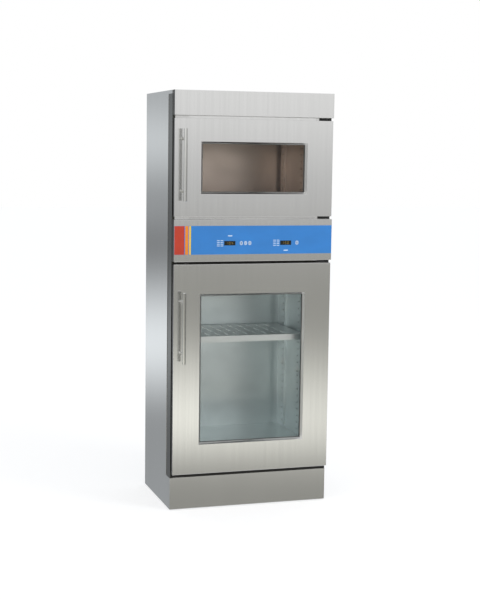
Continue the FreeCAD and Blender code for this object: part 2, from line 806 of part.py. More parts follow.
def cut_slots(body, sign, middles, base, count):
    """Rows of slots up the webs of the standards on one side."""
    windows = [box(f"{middle} - slot_width / 2", f"{middle} + slot_width / 2",
                   f"{base} - slot_height / 2", f"{base} + slot_height / 2") for middle in middles]
    web = side_x(sign, "standard_face", "standard_face + standard_sheet")
    repeat(body, pocket(body, "YZ", *web, *windows), "Z_Axis", "slot_pitch", count)


def make_shelf_clips():
    """Clips: a strip with an upturned ledge in front of the standard, hooked through a slot."""
    body = new_body("shelf_clips")
    for slot in ("shelf_slot", "spare_slot"):
        height = f"slot_base + {slot} * slot_pitch"
        ledge = f"{height} - clip_drop"
        for _, sign in SIDES:
            for middle in (FRONT_STANDARD, REAR_STANDARD):
                add_clip(body, sign, middle, height, ledge)


def add_clip(body, sign, middle, height, ledge):
    def across(text):
        return f"{sign} * ({text})"
    face, inside = across("standard_face"), across("standard_face - clip_ledge")
    strip = [(face, f"{ledge} + clip_strip"), (face, f"{ledge} - clip_sheet"),
             (inside, f"{ledge} - clip_sheet"), (inside, f"{ledge} + clip_lip"),
             (across("standard_face - clip_ledge + clip_sheet"), f"{ledge} + clip_lip"),
             (across("standard_face - clip_ledge + clip_sheet"), ledge),
             (across("standard_face - clip_sheet"), ledge),
             (across("standard_face - clip_sheet"), f"{ledge} + clip_strip")]
    pad(body, "XZ", f"{middle} - clip_width / 2", f"{middle} + clip_width / 2", strip)
    web_back = "standard_face + standard_sheet + running_gap"
    top, under = f"{height} + tongue_thickness / 2", f"{height} - tongue_thickness / 2"
    hook = [(face, top), (across(web_back + " + clip_sheet"), top),
            (across(web_back + " + clip_sheet"), f"{height} - tongue_drop"),
            (across(web_back), f"{height} - tongue_drop"), (across(web_back), under), (face, under)]
    half = "slot_width / 2 - running_gap"
    pad(body, "XZ", f"{middle} - ({half})", f"{middle} + {half}", hook)


def make_shelf():
    """Shelf: a shallow pan turned upside down, with three rows of air slots."""
    body = new_body("shelf")
    plan = box("-shelf_right", "shelf_right", "shelf_front", "shelf_back")
    pad(body, "XY", "shelf_under", "shelf_top", plan)
    pocket(body, "XY", "shelf_under", "shelf_top - shelf_sheet", grown(plan, "-shelf_sheet"))
    trim_edges(body, "Fillet", "edge_radius", lambda edge: lies_on(edge, "z", "shelf_top"))
    start = "-shelf_right + vent_margin"
    middle = "(shelf_front + shelf_back) / 2"
    rows = []
    for row in (-1, 0, 1):
        y = f"{middle} + {row} * (vent_length + vent_margin)"
        rows.append(box(start, f"{start} + vent_width", f"{y} - vent_length / 2", f"{y} + vent_length / 2"))
    cut = pocket(body, "XY", "shelf_top - 2 * shelf_sheet", "shelf_top + shelf_sheet", *rows)
    count = "floor((2 * (shelf_right - vent_margin) - vent_width) / vent_pitch) + 1"
    repeat(body, cut, "X_Axis", "vent_pitch", count)


# ---------------------------------------------------------------------------
# Doors
# ---------------------------------------------------------------------------

DOORS = {
    "upper": ("upper_door_z0", "upper_door_z1", "upper_window_margin", "upper_handle_rise"),
    "lower": ("lower_door_z0", "lower_door_z1", "lower_window_margin", "lower_handle_rise"),
}


def door_outline(door):
    return box("door_left", "door_right", *DOORS[door][:2])


def window_outline(door):
    """The window's outline on the door's front face."""
    low, high, margin, _ = DOORS[door]
    return box("door_left + window_side_margin", "door_right - window_side_margin",
               f"{low} + {margin}", f"{high} - {margin}")


def make_door_skin(door):
    """Outer skin: a shell with returns all round and a bevelled surround at the window."""
    body = new_body(door + "_door_skin")
    outline, window = door_outline(door), window_outline(door)
    surround = grown(window, "surround_wall")
    pad(body, "XZ", "front_y", "shell_back", outline)
    pocket(body, "XZ", "front_y + door_sheet", "shell_back", grown(outline, "-door_sheet"), surround)
    pocket(body, "XZ", "front_y + bevel_depth", "shell_back", surround)
    funnel_cut(body, window, "front_y", grown(window, "-bevel_width"), "front_y + bevel_depth")
    trim_edges(body, "Fillet", "door_edge_radius", lambda edge: lies_round(edge, "front_y", outline))
    for edge, sign in ((DOORS[door][1], 1), (DOORS[door][0], -1)):
        pocket(body, "XY", *reach(edge, sign, "-2 * door_sheet", "door_sheet"),
               disc("hinge_x", "hinge_y", "bush_radius + slide_fit / 2"))


def make_inner_pan(door):
    """Inner pan: closes the shell's back, with a raised tray inside the seal."""
    body = new_body(door + "_door_inner_pan")
    outline = door_outline(door)
    sight = grown(window_outline(door), "-bevel_width")
    tray = grown(outline, "-seal_inset - seal_width - running_gap")
    pad(body, "XZ", "shell_back - door_sheet", "shell_back", grown(outline, "-door_sheet - slide_fit"))
    pad(body, "XZ", "shell_back", "pan_back", tray)
    pocket(body, "XZ", "shell_back - door_sheet", "pan_back - door_sheet", grown(tray, "-door_sheet"))
    pocket(body, "XZ", "pan_back - 2 * door_sheet", "pan_back + door_sheet", sight)
    trim_edges(body, "Fillet", "door_edge_radius", lambda edge: lies_round(edge, "pan_back", tray))


def make_outer_glass(door):
    body = new_body(door + "_door_outer_glass")
    outline = grown(window_outline(door), "glass_overlap - bevel_width")
    pad(body, "XZ", "glass_front", "glass_front + glass_thickness", outline)


def make_inner_glass(door):
    body = new_body(door + "_door_inner_glass")
    outline = grown(window_outline(door), "glass_overlap - bevel_width")
    pad(body, "XZ", "inner_glass_front", "inner_glass_back", outline)


def make_window_gasket(door):
    """Glazing gasket and spacer: a frame grooved for the outer glass, up to the inner glass."""
    body = new_body(door + "_door_window_gasket")
    glass = grown(window_outline(door), "glass_overlap - bevel_width")
    pad(body, "XZ", "front_y + bevel_depth", "inner_glass_front", grown(glass, "gasket_wall"),
        grown(window_outline(door), "-bevel_width - gasket_sight"))
    pocket(body, "XZ", "glass_front", "glass_front + glass_thickness", glass)


def make_door_seal(door):
    """Magnetic seal: a wide base strip with a narrower magnet strip that meets the frame."""
    body = new_body(door + "_door_seal")
    outer = grown(door_outline(door), "-seal_inset")
    inner = grown(outer, "-seal_width")
    step = "(seal_width - magnet_width) / 2"
    pad(body, "XZ", "shell_back", "shell_back + seal_base", outer, inner)
    pad(body, "XZ", "shell_back + seal_base", "frame_y - running_gap",
        grown(outer, f"-({step})"), grown(inner, step))


def handle_middle(door):
    low, high, _, rise = DOORS[door]
    return f"({low} + {high}) / 2 + {rise}"


def make_handle_bar(door):
    body = new_body(door + "_door_handle_bar")
    middle = handle_middle(door)
    pad(body, "XY", f"{middle} - handle_length / 2", f"{middle} + handle_length / 2",
        disc("handle_x", "handle_y", "handle_radius"))
    trim_edges(body, "Chamfer", "handle_chamfer", lambda edge: edge.Closed)


def make_handle_posts(door):
    """Two turned posts, saddled to the bar."""
    body = new_body(door + "_door_handle_posts")
    outline = [("front_y", "0"), ("front_y", "post_radius"), ("handle_y", "post_radius"),
               ("handle_y", "0")]
    for sign in (-1, 1):
        height = f"{handle_middle(door)} + {sign} * post_spacing / 2"
        spin(body, "YZ", "handle_x", ("0", height), "H_Axis", outline)
    low, high = f"{handle_middle(door)} - post_spacing", f"{handle_middle(door)} + post_spacing"
    pocket(body, "XY", low, high, disc("handle_x", "handle_y", "handle_radius + slide_fit"))


def make_bushes(door):
    """Hinge bushes with hexagonal flanges in the door's upper and lower returns."""
    body = new_body(door + "_door_bushes")
    low, high = DOORS[door][:2]
    bore = disc("hinge_x", "hinge_y", "bush_bore")
    for edge, sign in ((high, 1), (low, -1)):
        pad(body, "XY", *reach(edge, sign, "-bush_length", "0"),
            disc("hinge_x", "hinge_y", "bush_radius"), bore)
        pad(body, "XY", *reach(edge, sign, "0", "bush_flange"),
            hexagon("hinge_x", "hinge_y", "bush_flange_radius"), bore)


def make_hinge(label, edge, sign):
    """Pivot bracket: a plate on the frame, a leaf that tapers to a round nose, and its pin."""
    body = new_body(label)
    right = "door_right - bracket_inset"
    left = f"{right} - leaf_width"
    leaf = reach(edge, sign, "leaf_start", "leaf_start + leaf_thickness")
    pad(body, "XY", *reach(edge, sign, "bracket_gap", "bracket_gap + bracket_height"),
        box(left, right, "frame_y - bracket_plate", "frame_y"))
    taper = [(left, "frame_y - bracket_plate"), ("hinge_x - leaf_nose", "hinge_y"),
             ("hinge_x + leaf_nose", "hinge_y"), (right, "frame_y - bracket_plate")]
    pad(body, "XY", *leaf, taper)
    pad(body, "XY", *leaf, disc("hinge_x", "hinge_y", "leaf_nose"))
    pad(body, "XY", *reach(edge, sign, "-pin_reach", "leaf_start + leaf_thickness"),
        disc("hinge_x", "hinge_y", "pin_radius"))


# ---------------------------------------------------------------------------
# Mains inlet
# ---------------------------------------------------------------------------

def inlet_outline(margin):
    """The inlet's body in the back panel."""
    plain = box("inlet_x - inlet_width / 2 - inlet_wall", "inlet_x + inlet_width / 2 + inlet_wall",
                "chassis_z - inlet_height / 2 - inlet_wall", "chassis_z + inlet_height / 2 + inlet_wall")
    return grown(plain, margin)


def make_power_inlet():
    """Recessed mains inlet: a socket with a flange inside the panel and three contact blades."""
    body = new_body("power_inlet")
    inside = "rear_face - case_sheet"
    pad(body, "XZ", "rear_face - inlet_depth", "rear_face", inlet_outline("0"))
    pad(body, "XZ", f"{inside} - inlet_flange_sheet", inside, inlet_outline("inlet_flange"))
    pocket(body, "XZ", "rear_face - inlet_depth + inlet_wall", "rear_face",
           inlet_outline("-inlet_wall"))
    blades = []
    for place, rise in ((-1, -1), (0, 1), (1, -1)):
        x, z = f"inlet_x + {place} * inlet_blade_pitch", f"chassis_z + {rise} * inlet_blade_rise"
        blades.append(box(f"{x} - inlet_blade / 2", f"{x} + inlet_blade / 2",
                          f"{z} - inlet_blade", f"{z} + inlet_blade"))
    pad(body, "XZ", "rear_face - inlet_depth + inlet_wall", "rear_face - inlet_recess", *blades)


# ---------------------------------------------------------------------------
# The assembly
# ---------------------------------------------------------------------------

make_base_frame()
for side, side_sign in SIDES:
    make_foot(f"foot_front_{side}", side_sign, "foot_front_y")
    make_foot(f"foot_rear_{side}", side_sign, "foot_rear_y")
make_base_deck()
make_kick_panel()
for side, side_sign in SIDES:
    make_side_panel(f"{side}_side_panel", side_sign)
make_back_panel()
make_top_cover()
for side, side_sign in SIDES:
    make_stile(f"{side}_stile", side_sign)
make_frame_rails()
make_fascia("header_panel", "header_z0", "top_z")
make_control_panel()
make_control_overlay()
make_control_chassis()
make_chassis_ends()
make_power_inlet()
for chamber_name, (_, key_names) in CONTROLS.items():
    make_display(chamber_name)
    make_controller(chamber_name)
    for key_order, key_name in enumerate(key_names):
        make_key(chamber_name, key_order, key_name)
for chamber_name in CHAMBERS:
    make_liner(chamber_name)
    make_heater_mat(chamber_name)
    make_insulation(chamber_name)
make_standards("lower_standards", [FRONT_STANDARD, REAR_STANDARD],
               "lower_floor", "lower_roof", "slot_base", "slot_count")
make_standards("upper_standards", [FRONT_STANDARD, "chamber_back - upper_standard_rear"],
               "upper_floor", "upper_roof", "upper_slot_base", "upper_slot_count")
make_shelf_clips()
make_shelf()
for door_name in DOORS:
    make_door_skin(door_name)
    make_inner_pan(door_name)
    make_outer_glass(door_name)
    make_inner_glass(door_name)
    make_window_gasket(door_name)
    make_door_seal(door_name)
    make_handle_bar(door_name)
    make_handle_posts(door_name)
    make_bushes(door_name)
    make_hinge(f"{door_name}_door_top_hinge", DOORS[door_name][1], 1)
    make_hinge(f"{door_name}_door_bottom_hinge", DOORS[door_name][0], -1)

doc.recompute()
for item in doc.Objects:
    if "Invalid" in item.State or "Error" in item.State:
        raise RuntimeError(f"{item.Name} ({item.Label}) failed: {item.State}")
for piece in pieces:
    if piece.Shape.isNull() or not piece.Shape.isValid():
        raise RuntimeError(f"{piece.Label} has no valid shape")

os.makedirs("parts", exist_ok=True)
for piece in pieces:
    piece.Shape.exportStep(f"parts/{piece.Label}.step")
print(len(pieces), "sub-parts written")
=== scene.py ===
"""Looks of a dual-chamber warming cabinet: finishes for its sheet metal, glass and controls, the printed
film, displays, screws and trim that stand on it, and a plain studio."""

import math

import bmesh
import bpy
from bpy.props import FloatProperty, FloatVectorProperty, IntProperty, PointerProperty
from bpy.types import NodeSocket, Operator, Panel, PropertyGroup
from mathutils import Matrix, Vector


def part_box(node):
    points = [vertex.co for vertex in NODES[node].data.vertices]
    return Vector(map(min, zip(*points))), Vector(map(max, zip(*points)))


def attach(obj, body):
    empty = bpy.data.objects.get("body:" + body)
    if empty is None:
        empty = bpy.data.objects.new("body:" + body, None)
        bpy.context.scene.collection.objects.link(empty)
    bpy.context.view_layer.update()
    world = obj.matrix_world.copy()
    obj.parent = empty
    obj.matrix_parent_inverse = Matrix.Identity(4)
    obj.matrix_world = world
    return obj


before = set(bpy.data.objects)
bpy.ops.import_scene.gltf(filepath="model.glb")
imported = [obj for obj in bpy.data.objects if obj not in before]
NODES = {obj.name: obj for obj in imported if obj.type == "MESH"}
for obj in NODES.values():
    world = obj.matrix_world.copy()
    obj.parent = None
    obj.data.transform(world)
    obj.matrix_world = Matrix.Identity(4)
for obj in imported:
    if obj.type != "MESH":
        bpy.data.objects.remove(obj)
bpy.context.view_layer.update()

bl_info = {
    "name": "Warming Cabinet",
    "version": (1, 0, 0),
    "blender": (4, 5, 0),
    "location": "View3D > Sidebar > Cabinet",
    "description": "Finishes and small pieces of a dual-chamber warming cabinet",
    "category": "Object",
}

MM = 0.001
DOORS = ("upper", "lower")


# ---------------------------------------------------------------------------
# Sizes and colours that a user may change
# ---------------------------------------------------------------------------

def linear(code):
    """A hex sRGB colour as linear red, green and blue."""
    parts = [int(code[start:start + 2], 16) / 255 for start in (1, 3, 5)]
    return [part / 12.92 if part <= 0.04045 else ((part + 0.055) / 1.055) ** 2.4 for part in parts]


def length(name, description, millimetres):
    """A setting for a length, with its default in millimetres."""
    return FloatProperty(name=name, description=description, default=millimetres * MM,
                         min=0.0, precision=5, subtype="DISTANCE", unit="LENGTH")


def colour(name, description, code):
    """A setting for a colour, with its default as a hex sRGB code."""
    return FloatVectorProperty(name=name, description=description, default=linear(code),
                               min=0.0, max=1.0, size=3, subtype="COLOR")


class CabinetSizes(PropertyGroup):
    """Sizes of the print, the trim and the small fasteners"""
    print_thickness: length("Print thickness", "Thickness of the raised print on the film", 0.08)
    bar_gap: length("Bar gap", "Bare film between two colour bars", 3.5)
    red_bar: length("Red bar", "Width of the red bar", 46.0)
    orange_bar: length("Orange bar", "Width of the orange bar", 15.0)
    yellow_bar: length("Yellow bar", "Width of the yellow bar", 8.0)
    legend_width: length("Legend width", "Width of one legend mark", 13.0)
    legend_height: length("Legend height", "Height of one legend mark", 3.0)
    digit_width: length("Digit width", "Width of a display digit", 6.6)
    digit_height: length("Digit height", "Height of a display digit", 12.6)
    segment_width: length("Segment width", "Width of a digit's segment", 1.5)
    symbol_size: length("Symbol size", "Width of the symbol on a key", 7.0)
    symbol_line: length("Symbol line", "Line width of the symbol on a key", 1.5)
    screw_radius: length("Screw radius", "Radius of a pan-head screw", 4.6)
    screw_height: length("Screw height", "Height of a pan-head screw", 2.3)
    louvre_rise: length("Louvre rise", "How far a louvre's hood stands out", 2.6)
    collar_radius: length("Collar radius", "Radius of the collar under a handle post", 9.0)
    collar_height: length("Collar height", "Height of the collar under a handle post", 2.0)
    # The strips in the door gaps are painted shade: black strips where the gaps lie in shade
    strip_height: length("Strip height", "Height of the top strip's edge over the lower door", 8.5)
    strip_depth: length("Strip depth", "How far a foam strip stands off the face frame", 3.0)
    screw_sides: IntProperty(name="Screw sides", description="Sides of a screw's round head",
                             default=24, min=8, max=64)


class CabinetColours(PropertyGroup):
    """Colours of the finishes"""
    steel: colour("Steel", "Light tone of the brushed sheet", "#E2E2E1")
    steel_dark: colour("Steel, dark", "Dark tone of the brushed sheet", "#DBDBDA")
    # Painted shade: a dark tone that the stiles take on their returns and outer edges, where they lie in
    # shade
    stile_shade: colour("Stiles", "Mill-finish steel of the face frame's uprights", "#474844")
    liner_steel: colour("Chamber steel", "Satin steel inside the chambers", "#DAE3E3")
    shelf_steel: colour("Shelf steel", "Brighter satin steel of the shelf", "#E2E6E4")
    # Painted shade: the upper chamber's steel is a warm tone, darker than the lower chamber's, for the dimmer
    # light inside it
    upper_steel_shaded: colour("Upper chamber steel", "Heat-tinted steel in the upper chamber", "#CCBCB0")
    handle_steel: colour("Handle steel", "Polished steel of the handles", "#D6D6D3")
    film: colour("Film", "Printed film on the control panel", "#2F7CC6")
    red: colour("Red ink", "Red bar on the film", "#BA3820")
    orange: colour("Orange ink", "Orange bar on the film", "#E58A22")
    yellow: colour("Yellow ink", "Yellow bar on the film", "#EBC437")
    legend: colour("Legend ink", "Pale legend marks on the film", "#C3D8EE")
    digit: colour("Lit segment", "Lit segments of the displays", "#8C7434")
    digit_dark: colour("Dark segment", "Unlit segments of the displays", "#221A12")
    lens: colour("Display lens", "Smoked lens of the displays", "#12160F")
    key: colour("Key", "Rubber of the keys", "#AFC6E4")
    floor: colour("Floor", "Pale studio floor", "#E8E8E8")


# ---------------------------------------------------------------------------
# Materials: helpers
# ---------------------------------------------------------------------------

def add(tree, kind, sockets=None, **settings):
    """Adds a node with its settings; a socket is linked, any other value is written in."""
    node = tree.nodes.new("ShaderNode" + kind)
    for name, setting in settings.items():
        setattr(node, name, setting)
    for name, given in (sockets or {}).items():
        if isinstance(given, NodeSocket):
            tree.links.new(given, node.inputs[name])
        else:
            node.inputs[name].default_value = given
    return node


def finish(name, recipe):
    """A material whose recipe gives the sockets of its Principled shader."""
    material = bpy.data.materials.new(name)
    material.use_nodes = True
    tree = material.node_tree
    tree.nodes.clear()
    shader = add(tree, "BsdfPrincipled", recipe(tree))
    add(tree, "OutputMaterial", {"Surface": shader.outputs[0]})
    return material


def mottle(tree, across, detail=2.0, roughness=0.5):
    """Noise from 0 to 1 whose blobs measure across, in millimetres along X, Y and Z."""
    place = add(tree, "TexCoord").outputs["Object"]
    scaled = add(tree, "Mapping", {"Vector": place, "Scale": [1 / (size * MM) for size in across]})
    noise = add(tree, "TexNoise", {"Vector": scaled.outputs[0], "Scale": 1.0, "Detail": detail,
                                   "Roughness": roughness})
    # Noise keeps to its middle range, which is spread out here
    return add(tree, "MapRange", {"Value": noise.outputs["Fac"], "From Min": 0.3,
                                  "From Max": 0.7}).outputs["Result"]


def uneven(tree, pattern, first, second, smooth, rough, relief):
    """A skin whose tone, dullness and relief, in millimetres, all follow one pattern."""
    tone = add(tree, "Mix", {0: pattern, 6: (*first, 1.0), 7: (*second, 1.0)}, data_type="RGBA")
    dull = add(tree, "MapRange", {"Value": pattern, "To Min": smooth, "To Max": rough})
    bump = add(tree, "Bump", {"Height": pattern, "Distance": relief * MM, "Strength": 1.0})
    return {"Base Color": tone.outputs[2], "Roughness": dull.outputs["Result"],
            "Normal": bump.outputs["Normal"]}


def off_face(tree, low, high, rim):
    """Two masks from 0 to 1: behind a sheet's front face, and within a rim of its two side edges."""
    way = add(tree, "SeparateXYZ", {0: add(tree, "TexCoord").outputs["Object"]})
    behind = add(tree, "MapRange", {"Value": way.outputs["Y"], "From Min": low.y + 0.3 * MM,
                                    "From Max": low.y + 1.2 * MM})
    aside = add(tree, "Math", {0: way.outputs["X"], 1: (low.x + high.x) / 2}, operation="SUBTRACT")
    across = add(tree, "Math", {0: aside.outputs[0]}, operation="ABSOLUTE")
    start = (high.x - low.x) / 2 - rim
    outer = add(tree, "MapRange", {"Value": across.outputs[0], "From Min": start - MM, "From Max": start})
    return behind.outputs["Result"], outer.outputs["Result"]


def darker(tone, share):
    """A colour taken down to a share of its light."""
    return [part * share for part in tone]


def dress(names, material):
    """Gives one material to CAD nodes."""
    for name in names:
        for slot in NODES[name].material_slots:
            slot.material = material


def hues():
    """The colours set in the sidebar."""
    return bpy.context.scene.cabinet_colours


def sizes():
    """The sizes set in the sidebar."""
    return bpy.context.scene.cabinet_sizes


# ---------------------------------------------------------------------------
# Materials: one per real finish
# ---------------------------------------------------------------------------

def brushed_sheet(tree):
    """Stainless sheet, belt-ground upwards to a number 4 finish and wiped clean."""
    # Belt lines are a few hundredths of a millimetre apart, too fine to show, so they are drawn
    # 1.5 mm apart, in lanes 14 mm wide where the belt's passes overlap
    lines = mottle(tree, (1.5, 1.5, 260), detail=3.0)
    lanes = mottle(tree, (14, 14, 2400), detail=1.0)
    grain = add(tree, "Mix", {0: 0.45, 2: lines, 3: lanes}).outputs[0]
    sheet = uneven(tree, grain, list(hues().steel), list(hues().steel_dark), 0.135, 0.145, 0.0003)
    # Wiping leaves broad patches, a little duller than the rest
    patches = mottle(tree, (240, 240, 330), detail=2.0)
    sheet["Roughness"] = add(tree, "Math", {0: patches, 1: 0.01, 2: sheet["Roughness"]},
                             operation="MULTIPLY_ADD").outputs[0]
    # Upright lines smear a reflection sideways and leave it sharp up and down
    return sheet | {"Metallic": 1.0, "Anisotropic": 0.8}


def pressed_sheet(node):
    """The same sheet on a pressed front: the press rubs its slopes matt, and its side returns are rougher and
    darkened by painted shade.
    """
    def recipe(tree):
        sheet = brushed_sheet(tree)
        behind, folded = off_face(tree, *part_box(node), rim=3 * MM)
        shaded_returns = add(tree, "Math", {0: behind, 1: folded}, operation="MULTIPLY")
        # Painted shade: the side returns are painted at a fifth of the sheet's light
        tone = add(tree, "Mix", {0: shaded_returns.outputs[0], 6: sheet["Base Color"],
                                 7: (*darker(hues().steel, 0.2), 1.0)}, data_type="RGBA")
        dull = add(tree, "Mix", {0: behind, 2: sheet["Roughness"], 3: 0.34})
        return sheet | {"Base Color": tone.outputs[2], "Roughness": dull.outputs[0]}
    return recipe


def stile_sheet(tree):
    """Stainless stile, rolled: belt-ground on its face, with painted shade, dark and greyer, down its return
    and along its outer edge.
    """
    lines = mottle(tree, (2, 2, 160), detail=3.0)
    skin = uneven(tree, lines, list(hues().stile_shade), darker(hues().stile_shade, 0.86), 0.2, 0.26, 0.001)
    # Painted shade: the dark tone covers the return and the outermost 12 mm by the rolled edge
    behind, rolled = off_face(tree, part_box("left_stile")[0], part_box("right_stile")[1], rim=12 * MM)
    shaded_edge = add(tree, "Math", {0: behind, 1: rolled}, operation="MAXIMUM")
    tone = add(tree, "Mix", {0: shaded_edge.outputs[0], 6: (*hues().steel, 1.0),
                             7: skin["Base Color"]}, data_type="RGBA")
    return skin | {"Base Color": tone.outputs[2], "Metallic": 1.0}


def satin_liner(tone):
    """Stainless liner sheet with a matt mill finish, deep-drawn and lightly heat-tinted."""
    def recipe(tree):
        # Mill finish scatters light evenly; baking leaves soft clouds of tint
        clouds = mottle(tree, (160, 160, 120), detail=3.0)
        return uneven(tree, clouds, tone, darker(tone, 0.9), 0.32, 0.38, 0.02) | {"Metallic": 1.0}
    return recipe


def polished_bar(tree):
    """Stainless bar, centreless-ground and buffed: bright, with the odd finger mark."""
    prints = mottle(tree, (18, 18, 30), detail=3.0)
    tone = list(hues().handle_steel)
    return uneven(tree, prints, tone, darker(tone, 0.93), 0.07, 0.12, 0.001) | {"Metallic": 1.0}


def zinc_plate(tree):
    """Galvanised sheet: zinc crystals a few millimetres across catch the light one by one."""
    place = add(tree, "TexCoord").outputs["Object"]
    cells = add(tree, "TexVoronoi", {"Vector": place, "Scale": 1 / (7 * MM)}).outputs["Color"]
    level = add(tree, "SeparateColor", {"Color": cells}).outputs[0]
    return uneven(tree, level, linear("#A5A9AB"), linear("#8C9194"), 0.30, 0.48, 0.0) | {"Metallic": 1.0}


def zinc_thread(tree):
    """Zinc-plated levelling foot: its stem shows a fine thread 1.5 mm apart."""
    stain = mottle(tree, (9, 9, 9), detail=3.0)
    skin = uneven(tree, stain, linear("#AEB1AF"), linear("#8F928F"), 0.28, 0.42, 0.0)
    place = add(tree, "TexCoord").outputs["Object"]
    # A Wave node's bands repeat 20 divided by its scale apart, over 2 pi
    thread = add(tree, "TexWave", {"Vector": place, "Scale": math.tau / (20 * 1.5 * MM)},
                 bands_direction="Z").outputs["Fac"]
    bump = add(tree, "Bump", {"Height": thread, "Distance": 0.25 * MM, "Strength": 1.0})
    return skin | {"Metallic": 1.0, "Normal": bump.outputs["Normal"]}


def foil(tree):
    """Aluminium foil with a crumpled skin, pressed on by hand."""
    folds = mottle(tree, (22, 22, 22), detail=4.0, roughness=0.6)
    return uneven(tree, folds, linear("#D4D6D8"), linear("#BCBFC2"), 0.22, 0.36, 1.2) | {"Metallic": 1.0}


def mineral_wool(tree):
    """Mineral wool board: fibres laid flat, matt and uneven in tone."""
    fibres = mottle(tree, (14, 14, 2.5), detail=6.0, roughness=0.7)
    return uneven(tree, fibres, linear("#CFC39A"), linear("#A3966C"), 0.95, 1.0, 1.5)


def window_pane(cover):
    """Float glass, 4 mm: clear, slightly blue-grey, under a faint wiped haze that covers a share of it."""
    def recipe(tree):
        haze = mottle(tree, (90, 90, 140), detail=2.0)
        tint = linear("#B4C2C4")
        return uneven(tree, haze, tint, darker(tint, 0.8), 0.03, 0.07, 0.0) | {"IOR": 1.52, "Alpha": cover}
    return recipe


def grey_silicone(tree):
    """Silicone glazing gasket: extruded, matt, with a dusty bloom."""
    bloom = mottle(tree, (6, 6, 6), detail=3.0)
    return uneven(tree, bloom, linear("#5C5D5B"), linear("#505150"), 0.6, 0.75, 0.05)


def black_vinyl(tree):
    """Flexible vinyl of a magnetic seal: extruded, smooth and slightly waxy."""
    wave = mottle(tree, (12, 12, 12), detail=2.0)
    return uneven(tree, wave, linear("#232425"), linear("#1A1B1C"), 0.42, 0.55, 0.08)


def gap_shade_black(tree):
    """Matt black strip with a fine open grain: a dark strip put in the door gaps as painted shade."""
    cells = mottle(tree, (0.9, 0.9, 0.9), detail=2.0)
    return uneven(tree, cells, linear("#2B2926"), linear("#1A1917"), 0.85, 0.95, 0.15)


def powder_black(tree):
    """Powder-coated steel: an even orange-peel skin about a millimetre across."""
    peel = mottle(tree, (1.2, 1.2, 1.2), detail=1.0)
    return uneven(tree, peel, linear("#151516"), linear("#1F1F20"), 0.38, 0.5, 0.04)


def moulded_nylon(tree):
    """Injection-moulded nylon with a spark-eroded skin, half a millimetre across."""
    skin = mottle(tree, (0.6, 0.6, 0.6), detail=2.0)
    return uneven(tree, skin, linear("#1D1D1E"), linear("#161617"), 0.46, 0.58, 0.02)


def printed_film(tone):
    """Polyester overlay printed on its back: a satin skin over flat ink, with faint unevenness."""
    def recipe(tree):
        ink = mottle(tree, (120, 120, 60), detail=2.0)
        film = uneven(tree, ink, tone, darker(tone, 0.9), 0.32, 0.38, 0.0)
        skin = mottle(tree, (0.9, 0.9, 0.9), detail=2.0)
        bump = add(tree, "Bump", {"Height": skin, "Distance": 0.006 * MM, "Strength": 1.0})
        return film | {"Normal": bump.outputs["Normal"]}
    return recipe


def smoked_lens(tree):
    """Smoked acrylic, cast and polished: near black, with a wet gloss and a few fine scuffs."""
    scuffs = mottle(tree, (6, 6, 0.8), detail=3.0)
    tone = list(hues().lens)
    return uneven(tree, scuffs, tone, darker(tone, 1.4), 0.05, 0.14, 0.0) | {"IOR": 1.49}


def lit_segment(tree):
    """Lit display segment behind a smoked lens: a soft amber glow, unevenly bright."""
    glow = mottle(tree, (3, 3, 3), detail=1.0)
    tone = list(hues().digit)
    segment = uneven(tree, glow, tone, darker(tone, 0.6), 0.3, 0.34, 0.0)
    return segment | {"Emission Color": segment["Base Color"], "Emission Strength": 0.35}


def soft_key(tree):
    """Silicone key cap: moulded, matt, rubbed a little darker where fingers press."""
    rub = mottle(tree, (7, 7, 7), detail=2.0)
    tone = list(hues().key)
    return uneven(tree, rub, tone, darker(tone, 0.86), 0.45, 0.6, 0.03)


def circuit_board(tree):
    """Glass-epoxy board under green solder mask, with copper tracks that show as lighter bands."""
    place = add(tree, "TexCoord").outputs["Object"]
    tracks = add(tree, "TexBrick", {"Vector": place, "Scale": 1.0, "Brick Width": 9 * MM,
                                    "Row Height": 2.2 * MM, "Mortar Size": 0.5 * MM}).outputs["Fac"]
    return uneven(tree, tracks, linear("#1C5A34"), linear("#2F7A45"), 0.3, 0.4, 0.03)


# ---------------------------------------------------------------------------
# Modelling: helpers
# ---------------------------------------------------------------------------

def deselect():
    """Leaves nothing selected, in object mode."""
    if bpy.context.object and bpy.context.object.mode != "OBJECT":
        bpy.ops.object.mode_set(mode="OBJECT")
    bpy.ops.object.select_all(action="DESELECT")


def choose(obj, kind, wanted):
    """Enters edit mode and selects the faces or edges that wanted accepts."""
    bpy.ops.object.mode_set(mode="EDIT")
    bpy.ops.mesh.select_mode(type="FACE" if kind == "faces" else "EDGE")
    bpy.ops.mesh.select_all(action="DESELECT")
    shape = bmesh.from_edit_mesh(obj.data)
    for part in getattr(shape, kind):
        part.select_set(bool(wanted(part)))
    shape.select_flush_mode()
    bmesh.update_edit_mesh(obj.data)


def runs_along(edge, axis):
    """True if the edge runs along the axis, 0 for X, 1 for Y and 2 for Z."""
    way = edge.verts[0].co - edge.verts[1].co
    return abs(way[axis]) > 0.999 * way.length


def settle(obj, name):
    """Puts the object's place into its mesh and gives it its name."""
    bpy.ops.object.mode_set(mode="OBJECT")
    bpy.ops.object.transform_apply(location=True, rotation=True, scale=True)
    bpy.ops.object.shade_smooth_by_angle(angle=math.radians(35))
    obj.name = name
    obj.data.name = name
    return obj


def mark(name, x, z, width, height, corner, back, thickness, steps=3):
    """A thin plate on the cabinet's front: centre, size, corner radius and the face it stands on."""
    deselect()
    bpy.ops.mesh.primitive_cube_add(size=1, location=(x, back - thickness / 2, z))
    obj = bpy.context.object
    obj.scale = (width, thickness, height)
    bpy.ops.object.transform_apply(location=False, rotation=False, scale=True)
    choose(obj, "edges", lambda edge: runs_along(edge, 1))
    bpy.ops.mesh.bevel(offset=corner, offset_type="OFFSET", segments=steps, affect="EDGES")
    return settle(obj, name)


